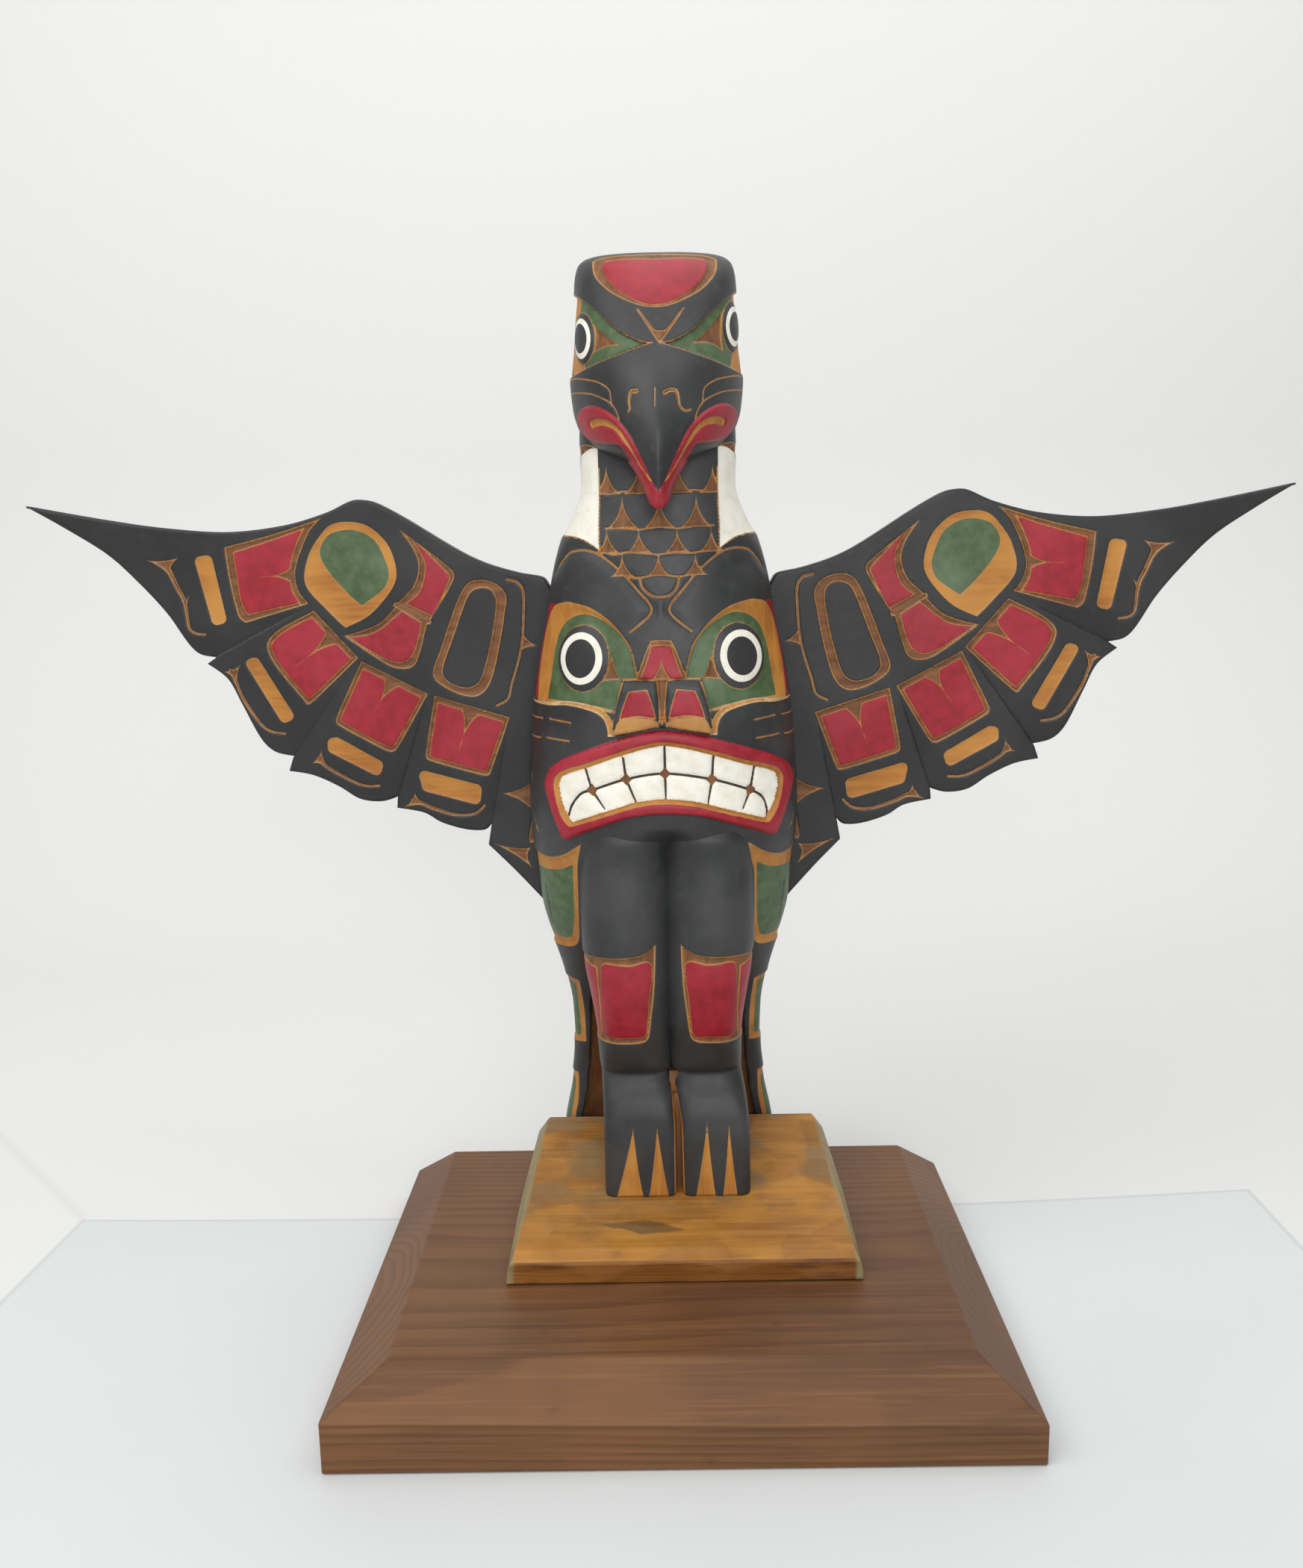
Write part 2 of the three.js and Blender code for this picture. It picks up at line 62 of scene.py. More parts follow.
# tail hollow: z, outer x, back y
HOLLOW = [[38, 53, 77], [56, 52, 77], [74.8, 49.7, 75.5], [94.4, 45.8, 71], [112.7, 43.5, 65], [136, 42, 58],
          [154.4, 41.2, 52], [167, 38, 45], [173, 24.5, 40], [175, 16, 38]]
HEAD = [
    [412.4, 1.6, -33, -36.5, -30, 2.0, 2.0], [416, 3.4, -31.5, -39, -27.5, 1.8, 2.0],
    [422, 5.4, -28, -41.3, -23, 1.7, 2.0], [428.4, 8.8, -24, -42, -17, 1.65, 2.0],
    [434, 13.0, -17, -42.3, -9, 1.6, 2.0], [438, 21, -8, -42, 2, 1.6, 2.2], [441, 28, 3, -41.8, 18, 1.6, 2.4],
    [446, 34, 14, -41, 38, 1.6, 2.5], [452, 38, 20, -39.5, 54, 1.65, 2.6], [460, 40.3, 23, -36.5, 62, 1.7, 2.6],
    [474, 41.4, 24, -30, 67, 1.9, 2.6], [487, 40.9, 25, -22.5, 69, 2.05, 2.6],
    [500, 40, 27, -14.5, 69.5, 2.2, 2.6], [512, 38.8, 29, -6.5, 69, 2.4, 2.6], [520, 38.3, 31, 0, 68, 2.5, 2.6],
    [526, 37, 33, 7, 66, 2.5, 2.6], [529.5, 34, 35, 14, 62, 2.5, 2.6], [531.2, 29, 37, 21, 56, 2.5, 2.6]]
# z, inner x, outer x, front y, back y of one leg, shift of the pair to the right, roundness
LEG = [
    [52, -0.5, 38, 3, 36, 4.2, 9], [92, -0.5, 38, 3, 36, 4.2, 8], [103, -0.5, 37.8, 4, 36, 3.9, 6.5],
    [112, -0.5, 37.4, 6.5, 36, 3.2, 5], [121, -0.5, 36.9, 11, 36, 2.2, 3.5], [125.5, -0.5, 36.7, 12.5, 36, 1.8,
                                                                              2.8],
    [130, -0.5, 36.8, 7, 36, 1.5, 2.6], [140, -0.5, 37.1, 0, 36, 1.2, 2.4], [150, -1, 37.6, -5, 36, 1.1, 2.35],
    [160, -1, 38.5, -9, 36, 1, 2.35], [174, -1.5, 40.5, -12.5, 36, 1, 2.35], [190, -2, 42.9, -15.5, 36, 1, 2.35],
    [205, -2, 43.6, -16, 36, 1, 2.35], [225, -2, 43.9, -15.5, 36, 1, 2.35], [243, -2, 43.8, -14, 36, 1, 2.4],
    [254, -2, 43, -15.5, 36, 1, 2.5], [262, -2, 42, -13, 36, 1, 2.6]]
# z, middle and half width of the cleft between the feet
CLEFT = [[50, 5.2, 1.4], [100, 4.9, 1.1], [113, 3.5, 0.7], [124, 1.6, 0.0], [128, 1.5, -0.5], [262, 1.0, -0.5]]
TRUNK_TOP, HEAD_FOOT, HEAD_TOP, LEG_FOOT, LEG_TOP = 461, 412.6, 531.0, 52, 262
# below INSTEP a foot follows the slope of the plinth; its lowest CLAW_RISE is drawn out over the whole of it
INSTEP, CLAW_RISE = 84, 20.5
WING_FRONT, WING_T_ROOT, WING_T_TIP, WING_SPAN = 44.0, 11.0, 6.0, 319.0
SEAT_GAP = 0.32


# ---------------------------------------------------------------- curves and distances
def curve(table):
    """Monotone cubic through a table's rows, keyed by its first column."""
    t = np.array(table, float)
    x, y = t[:, 0], t[:, 1:]
    h = np.diff(x)[:, None]
    d = np.diff(y, axis=0) / h
    m = np.vstack([d[:1], np.zeros_like(d[1:]), d[-1:]])
    a, b = d[:-1], d[1:]
    same = a * b > 0
    m[1:-1] = np.where(same, 2 * a * b / np.where(same, a + b, 1), 0)

    def at(q):
        q = np.atleast_1d(np.asarray(q, float))
        i = np.clip(np.searchsorted(x, q) - 1, 0, len(x) - 2)
        hh = h[i]
        u = np.clip((q - x[i])[:, None] / hh, 0, 1)
        return (y[i] * (1 + 2 * u) * (1 - u) ** 2 + y[i + 1] * u * u * (3 - 2 * u)
                + m[i] * hh * u * (1 - u) ** 2 + m[i + 1] * hh * u * u * (u - 1))
    return at


def ramp(v, a, b):
    """0 at a, 1 at b, smooth between."""
    t = np.clip((v - a) / (b - a), 0, 1)
    return t * t * (3 - 2 * t)


def path(ctrl, closed=True, step=0.9):
    """Smooth line through control points; a third value marks a sharp corner."""
    pts = [np.array(p[:2], float) for p in ctrl]
    sharp = [len(p) > 2 for p in ctrl]
    n = len(pts)
    if not closed:
        sharp[0] = sharp[-1] = True
    segs = n if closed else n - 1
    out = []
    for i in range(segs):
        a, b = pts[i], pts[(i + 1) % n]
        pa = a if sharp[i] else pts[i - 1]
        pb = b if sharp[(i + 1) % n] else pts[(i + 2) % n]
        ta, tb = (b - pa) / 2, (pb - a) / 2
        length = np.linalg.norm(b - a)
        ta *= min(1, 1.2 * length / (np.linalg.norm(ta) + 1e-9))
        tb *= min(1, 1.2 * length / (np.linalg.norm(tb) + 1e-9))
        k = max(1, int(round(length / step)))
        u = np.arange(k)[:, None] / k
        out.append(a * (1 + 2 * u) * (1 - u) ** 2 + b * u * u * (3 - 2 * u) + ta * u * (1 - u) ** 2
                   + tb * u * u * (u - 1))
    if not closed:
        out.append(pts[-1][None])
    return np.vstack(out)


def mirror(line):
    return line * np.array([-1.0, 1.0])


def offset(line, r):
    """Closed line moved outwards by r."""
    t = np.roll(line, -1, 0) - np.roll(line, 1, 0)
    t /= np.linalg.norm(t, axis=1)[:, None] + 1e-9
    area = np.sum(line[:, 0] * np.roll(line[:, 1], -1) - np.roll(line[:, 0], -1) * line[:, 1])
    return line + np.stack([t[:, 1], -t[:, 0]], 1) * r * (1 if area > 0 else -1)


def near(P, line, pad):
    lo, hi = line.min(0) - pad, line.max(0) + pad
    return np.nonzero(((P >= lo) & (P <= hi)).all(1))[0]


def sdf(line, P, pad=9.0):
    """Signed distance to a closed line, negative inside, cut off at pad."""
    out = np.full(len(P), float(pad))
    m = near(P, line, pad)
    Q = P[m]
    best = np.full(len(Q), float(pad * pad))
    inside = np.zeros(len(Q), bool)
    for a, b in zip(line, np.roll(line, -1, 0)):
        e, w = b - a, Q - a
        t = np.clip((w @ e) / (e @ e + 1e-12), 0, 1)
        best = np.minimum(best, ((w - t[:, None] * e) ** 2).sum(1))
        cross = (a[1] <= Q[:, 1]) != (b[1] <= Q[:, 1])
        if cross.any():
            xi = a[0] + (Q[:, 1] - a[1]) * e[0] / (e[1] if e[1] else 1e-12)
            inside ^= cross & (Q[:, 0] < xi)
    d = np.sqrt(best)
    out[m] = np.where(inside, -d, d)
    return out


def stroke(line, P, w0, w1=None, pad=6.0):
    """Signed distance to an open line drawn with a width that runs from w0 to w1."""
    out = np.full(len(P), float(pad))
    m = near(P, line, pad)
    Q = P[m]
    best = np.full(len(Q), float(pad))
    n = len(line) - 1
    w1 = w0 if w1 is None else w1
    for i in range(n):
        a, e = line[i], line[i + 1] - line[i]
        w = Q - a
        t = np.clip((w @ e) / (e @ e + 1e-12), 0, 1)
        d = np.sqrt(((w - t[:, None] * e) ** 2).sum(1))
        best = np.minimum(best, d - 0.5 * (w0 + (w1 - w0) * (i + t) / n))
    out[m] = best
    return out


def trigon(apex, left, right, pull=0.35, base=None):
    """Three-pointed form with hollow sides; the side opposite the apex may be flatter."""
    apex, left, right = (np.array(p, float) for p in (apex, left, right))
    mid = (apex + left + right) / 3

    def side(a, b, f):
        c = (a + b) / 2 + ((mid - (a + b) / 2) * f * 2)
        u = np.linspace(0, 1, 9)[:-1, None]
        return a * (1 - u) ** 2 + 2 * c * u * (1 - u) + b * u * u
    return np.vstack([side(apex, left, pull), side(left, right, pull if base is None else base),
                      side(right, apex, pull)])


def ribbon(line, w0, w1):
    """Closed outline of a line whose width runs from w0 to w1."""
    t = np.gradient(line, axis=0)
    n = np.stack([-t[:, 1], t[:, 0]], 1) / (np.linalg.norm(t, axis=1)[:, None] + 1e-9)
    w = np.linspace(w0, w1, len(line))[:, None] / 2
    return np.vstack([line + n * w, (line - n * w)[::-1]])


# ---------------------------------------------------------------- stacked sections
class Wrap:
    """Closed surface of stacked sections: s runs round a section from its front middle, z is height."""
    K = 700

    def __init__(self, table, z0, z1, middle=None):
        self.z0, self.z1 = z0, z1
        self.z = np.linspace(z0, z1, int((z1 - z0) / 0.8) + 2)
        rows = curve(table)(self.z)
        phi = np.linspace(0, math.pi, 1400)
        s, c = np.abs(np.sin(phi)), np.abs(np.cos(phi))
        front = phi <= math.pi / 2
        self.X, self.Y = np.empty((len(self.z), self.K + 1)), np.empty((len(self.z), self.K + 1))
        self.H, self.side = np.empty(len(self.z)), np.empty(len(self.z))
        for i, (w, yc, yf, yb, nf, nb) in enumerate(rows):
            x = np.where(front, w * s ** (2 / nf), w * s ** (2 / nb))
            y = np.where(front, yc - (yc - yf) * c ** (2 / nf), yc + (yb - yc) * c ** (2 / nb))
            arc = np.concatenate([[0], np.cumsum(np.hypot(np.diff(x), np.diff(y)))])
            f = np.linspace(0, arc[-1], self.K + 1)
            self.X[i], self.Y[i] = np.interp(f, arc, x), np.interp(f, arc, y)
            self.H[i], self.side[i] = arc[-1], np.interp(math.pi / 2, phi, arc)
        self.middle = np.zeros(len(self.z)) if middle is None else middle(self.z)
        self.w = rows[:, 0]

    def half(self, z):
        return np.interp(z, self.z, self.H)

    def s_of(self, line):
        """x and z of a line seen from the front to s and z; x past the outline goes on round the side."""
        out = []
        for x, z in np.atleast_2d(line):
            i = int(np.clip(round((z - self.z[0]) / (self.z[1] - self.z[0])), 0, len(self.z) - 1))
            x = x - self.middle[i]
            k = int(self.K * self.side[i] / self.H[i])
            a = abs(x)
            s = (np.interp(a, self.X[i, :k + 1], np.arange(k + 1) * self.H[i] / self.K)
                 if a <= self.w[i] else self.side[i] + a - self.w[i])
            out.append((math.copysign(s, x), z))
        return np.array(out)

    def at(self, s, z):
        """Position and outward direction in the section's plane."""
        i = np.clip((z - self.z[0]) / (self.z[1] - self.z[0]), 0, len(self.z) - 1.001)
        k = np.clip(np.abs(s) / self.half(z) * self.K, 0, self.K - 0.001)
        i0, k0 = i.astype(int), k.astype(int)
        u, v = i - i0, k - k0

        def get(A, kk):
            return A[i0, kk] * (1 - u) + A[i0 + 1, kk] * u
        x = get(self.X, k0) * (1 - v) + get(self.X, k0 + 1) * v
        y = get(self.Y, k0) * (1 - v) + get(self.Y, k0 + 1) * v
        ka, kb = np.clip(k0 - 3, 0, self.K), np.clip(k0 + 4, 0, self.K)
        tx, ty = get(self.X, kb) - get(self.X, ka), get(self.Y, kb) - get(self.Y, ka)
        ln = np.hypot(tx, ty) + 1e-9
        nx, ny = ty / ln, -tx / ln
        # straight at the front and back middle
        lean = np.clip(np.abs(s) / 1.5, 0, 1) * np.clip((self.half(z) - np.abs(s)) / 1.5, 0, 1)
        nx = nx * lean
        ln = np.hypot(nx, ny) + 1e-9
        sign = np.where(s < 0, -1.0, 1.0)
        mid = np.interp(z, self.z, self.middle)
        return np.stack([x * sign + mid, y], 1), np.stack([nx / ln * sign, ny / ln], 1)


def triangulate(outline, lines, points, keep=0.42):
    """Points and lines in a plane to vertices and triangles inside the outline."""
    verts, edges = [Vector(p) for p in outline], []
    for line, closed in lines:
        start = len(verts)
        verts += [Vector(p) for p in line]
        edges += [(start + i, start + i + 1) for i in range(len(line) - 1)]
        if closed:
            edges.append((len(verts) - 1, start))
    tree = kdtree.KDTree(len(verts))
    for i, v in enumerate(verts):
        tree.insert((v.x, v.y, 0), i)
    tree.balance()
    for x, y, h in points:
        if tree.find((x, y, 0))[2] > keep * h:
            verts.append(Vector((x, y)))
    v, _, f, *_ = delaunay_2d_cdt(verts, edges, [list(range(len(outline)))], 1, 1e-5)
    return np.array([(p.x, p.y) for p in v]), [tuple(t) for t in f]


def rows_of(z0, z1, dz, ds, half):
    """Staggered points in s and z, with their spacing."""
    pts, z, odd = [], z0 + dz(z0), False
    while z < z1 - 0.5 * dz(z1):
        h = half(z)
        s = ds(0, z) * (0.5 if odd else 1.0)
        if not odd:
            pts.append((0.0, z, ds(0, z)))
        while s < h - 0.6 * ds(s, z):
            d = ds(s, z)
            pts += [(s, z, d), (-s, z, d)]
            s += d
        z += dz(z)
        odd = not odd
    return pts


def make(name, co, faces, attrs=None, smooth=True, weld=0.0, cap=False):
    """Object in metres from millimetre points, with float attributes on its points."""
    mesh = bpy.data.meshes.new(name)
    mesh.from_pydata((np.asarray(co) * MM).tolist(), [], faces)
    for key, val in (attrs or {}).items():
        mesh.attributes.new(key, "FLOAT", "POINT").data.foreach_set("value", np.asarray(val, np.float32))
    bm = bmesh.new()
    bm.from_mesh(mesh)
    if weld:
        bmesh.ops.remove_doubles(bm, verts=bm.verts, dist=weld * MM)
    if cap:
        bmesh.ops.holes_fill(bm, edges=[e for e in bm.edges if len(e.link_faces) == 1], sides=0)
        bmesh.ops.triangulate(bm, faces=[f for f in bm.faces if len(f.verts) > 4])
    bmesh.ops.recalc_face_normals(bm, faces=bm.faces)
    if smooth:
        for f in bm.faces:
            f.smooth = True
    bm.to_mesh(mesh)
    bm.free()
    mesh.update()
    ob = bpy.data.objects.new(name, mesh)
    bpy.context.scene.collection.objects.link(ob)
    return ob


def seat(y):
    p = np.array(PLINTH)
    return np.interp(y, p[:, 0], p[:, 1]) + SEAT_GAP


def wrapped(name, wrap, lines, dz, ds, form, foot=None):
    """Build a piece over stacked sections; form gives height and paint distances at s and z."""
    q0 = float(wrap.H.max())

    def to_q(a):
        return np.stack([a[:, 0] * q0 / wrap.half(a[:, 1]), a[:, 1]], 1)
    pts = rows_of(wrap.z0, wrap.z1, dz, ds, wrap.half)
    levels, z = [wrap.z0], wrap.z0
    while z < wrap.z1 - 1.5 * dz(z):
        z += dz(z)
        levels.append(z)
    levels.append(wrap.z1)

    def across(zz, rev):
        n = int(wrap.half(zz) / 1.6)
        q = np.linspace(-q0, q0, 2 * n + 1)[:-1]
        a = np.stack([q, np.full(len(q), zz)], 1)
        return (a * [-1, 1]) if rev else a
    side = np.array(levels)
    outline = np.vstack([across(wrap.z0, False), np.stack([np.full(len(side) - 1, q0), side[:-1]], 1),
                         across(wrap.z1, True), np.stack([np.full(len(side) - 1, -q0), side[::-1][:-1]], 1)])
    plane = to_q(np.array([p[:2] for p in pts]))
    scale = q0 / wrap.half(plane[:, 1])
    seeds = [(a[0], a[1], p[2] * min(sc, 2.0)) for a, p, sc in zip(plane, pts, scale)]
    edge_ok = [sd for sd in seeds if abs(sd[0]) < q0 - 0.5 * sd[2]]
    used = []
    for line, closed in lines:
        line = to_q(line)
        ok = (line[:, 1] > wrap.z0 + 0.4) & (line[:, 1] < wrap.z1 - 0.4) & (np.abs(line[:, 0]) < q0 - 0.6)
        if ok.all():
            used.append((line, closed))
            continue
        # only the runs that stay clear of the rim
        starts = np.flatnonzero(np.diff(np.concatenate([[0], ok.astype(int)])) > 0)
        ends = np.flatnonzero(np.diff(np.concatenate([ok.astype(int), [0]])) < 0) + 1
        used += [(line[a:b], False) for a, b in zip(starts, ends) if b - a > 1]
    v, faces = triangulate(outline, used, edge_ok)
    z = v[:, 1]
    s = np.clip(v[:, 0] / q0, -1, 1) * wrap.half(z)
    xy, n = wrap.at(s, z)
    height, paint, push = form(s, z, xy)
    co = np.column_stack([xy + n * height[:, None], z])
    co[:, 1] += push
    if foot:
        low = seat(co[:, 1])
        co[:, 2] = np.where(z < foot, low + (z - wrap.z0) / (foot - wrap.z0) * (foot - low), z)
    return make(name, co, faces, paint, weld=0.02, cap=True)


# ---------------------------------------------------------------- painted relief, shared
def band(outer, inner):
    """Inside the outer form and outside the inner one."""
    return np.maximum(outer, -inner)


class Drawing:
    """Named outlines on a surface, and the lines that its mesh keeps to."""

    def __init__(self, place=lambda a: a, step=0.9, sides=(1,)):
        self.place, self.step, self.sides = place, step, sides
        self.shapes, self.lines = {}, []

    def add(self, name, ctrl, closed=True, step=None, sides=None):
        """Outline through control points, or a finished line; side -1 is its mirror image."""
        base = ctrl if isinstance(ctrl, np.ndarray) else path(ctrl, closed, step or self.step)
        got = [self.place(base if m > 0 else mirror(base)) for m in sides or self.sides]
        self.shapes.setdefault(name, []).extend(got)
        self.lines.extend((a, closed) for a in got)
        return got

    def distance(self, P):
        """Function of a name: signed distance from P to its outlines."""
        return lambda name, pad=7.0: np.minimum.reduce([sdf(a, P, pad) for a in self.shapes[name]])

    def pen(self, P):
        """Function of a name and widths: signed distance from P to its lines drawn that wide."""
        return lambda name, w0, w1=None: np.minimum.reduce([stroke(a, P, w0, w1) for a in self.shapes[name]])


class Paint:
    """Signed distances of each colour over a set of points; black is what none covers."""

    def __init__(self, P):
        self.wood, self.red, self.green, self.white = (np.full(len(P), 6.0) for _ in range(4))
        self.ink = np.full(len(P), 6.0)
        self.cut = np.full(len(P), 6.0)

    def add(self, colour, d, cut=True):
        """Grow a colour by a form; bare wood is cut into the surface unless told otherwise."""
        setattr(self, colour, np.minimum(getattr(self, colour), d))
        if colour == "wood" and cut:
            self.cut = np.minimum(self.cut, d)

    def flat(self, d):
        """Bare wood that is level with the paint round it."""
        self.add("wood", d, cut=False)

    def bare(self, d):
        """A cut down to the wood that takes the green away."""
        self.add("wood", d)
        self.green = np.maximum(self.green, -d)

    def groove(self, depth=1.0, run=0.9):
        """How deep the knife went: bare wood lies in a bevelled cut."""
        over = np.minimum(np.minimum(self.red, self.green), np.minimum(self.white, self.ink))
        d = np.maximum(self.cut, -over)
        return depth * ramp(-d, -0.12, run)

    def attrs(self, deep):
        return {"p_wood": self.wood, "p_red": self.red, "p_green": self.green, "p_white": self.white,
                "p_ink": self.ink, "p_deep": deep}


def ellipse(cx, cz, rx, rz, tilt=0.0, n=56):
    t = np.arange(n) * 2 * math.pi / n
    x, z = rx * np.cos(t), rz * np.sin(t)
    a = math.radians(tilt)
    return np.stack([cx + x * math.cos(a) + z * math.sin(a), cz - x * math.sin(a) + z * math.cos(a)], 1)


def both_sides(ctrl):
    """Closed symmetric form from its right half, which runs from the middle line to the middle line."""
    right = [tuple(p) for p in ctrl]
    return right + [(-p[0],) + tuple(p[1:]) for p in right[1:-1][::-1]]


# ---------------------------------------------------------------- body and big face
LIP_H, TEETH_H, NOSE_TOP_H, NOSE_H, SOCKET_D, EYE_H = 3.4, 1.4, 2.4, 4.6, 2.6, 1.9
LIP = [(0, 310.5, 1), (10.8, 309), (24.4, 305.5), (40, 300), (52.2, 294.5), (57.4, 289), (59.2, 281.5),
       (56.7, 271), (53.3, 261), (50.6, 254.9, 1), (37.6, 261), (22, 267), (13.6, 268.9), (0, 270)]
TEETH = [(0, 303.4, 1), (10.8, 301.5), (24.4, 297.3), (36, 293), (47.8, 288.7), (51.7, 285), (51.9, 279),
         (49.5, 270), (46.1, 264.7, 1), (35.2, 268.9), (21.3, 273.7), (13, 276), (0, 277.3)]
BRIDGE = [(0, 352.5), (4.8, 352.3, 1), (8.5, 344), (11.5, 334.6, 1), (0, 333.6)]
BRIDGE_RED = [(0, 350), (4.4, 349.6, 1), (7.0, 341), (9.4, 334.8, 1), (0, 334.6)]
NOSTRIL = [(1.4, 333.2), (4, 334.6, 1), (17.6, 334.2, 1), (21.2, 323), (24.2, 307.6, 1), (12.5, 309.8),
           (1.4, 312.2, 1)]
NOSTRIL_RED = [(6.8, 329.9, 1), (14.9, 328.9, 1), (17.6, 322), (19.2, 316.3, 1), (11.4, 317.6), (3.2, 316.6, 1),
               (4.6, 323)]
NOSTRIL_PALE = [(3.2, 315.5), (11.4, 316.8), (19.3, 315.7), (22.7, 307.9, 1), (12.4, 309.8), (1.5, 312, 1)]
SOCKET = [(61.2, 320.8, 1), (60.2, 335), (56.4, 356), (51.8, 367.4), (46, 369.9), (42.5, 370), (33, 367.5),
          (24, 361.5), (16.5, 353), (13.4, 346.5), (11, 335, 1), (19, 334, 1), (22.3, 318.4, 1), (32, 320),
          (44.3, 322.4)]
GREEN = [(56.5, 323.4, 1), (55.5, 336.6), (52.7, 350.9), (47.5, 360.3), (38, 364.3), (28, 361.4), (19.5, 354.6),
         (14.5, 346), (12.2, 335, 1), (19.7, 334.3, 1), (22.3, 319.4, 1), (32, 321.6), (44.3, 323)]
FLANK = [(70, 243.6), (58.7, 243.2), (50.6, 246), (40.8, 253.4, 1), (43.2, 240), (43.8, 215), (44.8, 197),
         (48, 191.6), (55, 190), (63, 190), (74, 196), (79, 215), (78, 235)]
FLANK_GREEN = [(70, 233.6), (58, 235.6), (51.8, 237.6), (46.4, 240.6, 1), (47, 213), (48.6, 200), (51, 196.3),
               (56, 195.6), (62, 197), (69, 203), (73, 216), (73, 228)]
CHEST = [(50.5, 385.5), (46, 391), (42, 393.8), (34.6, 394.2), (28, 391.8), (18.2, 384), (9.7, 374.5), (5.4, 369.8),
         (4.2, 366.1), (6.8, 362.4), (14.5, 356.3)]
THROAT_WHITE = [(28.2, 441.3, 1), (33, 440.8), (41.2, 434), (44.5, 424), (47, 412), (50.5, 401.4, 1), (44.5, 401.4),
                (36, 399.5), (28.6, 394.5, 1), (28.6, 405), (28.2, 418)]
THROAT_TAN = [(28.4, 441.6), (33.5, 440.4), (38, 437.6), (41.5, 434.2, 1), (43.2, 437), (42, 441), (36, 443.6)]
SCALES = [(420.6, (-24.4, -9.5, 9.6, 25.6), 12.0, 6.2), (404.8, (-17.1, 0.2, 17.5), 13.6, 7.2),
          (393.3, (-24.6, -9.6, 8.4, 24.4), 10.2, 6.0), (382.6, (-17.6, -0.6, 16.8), 9.4, 5.4)]


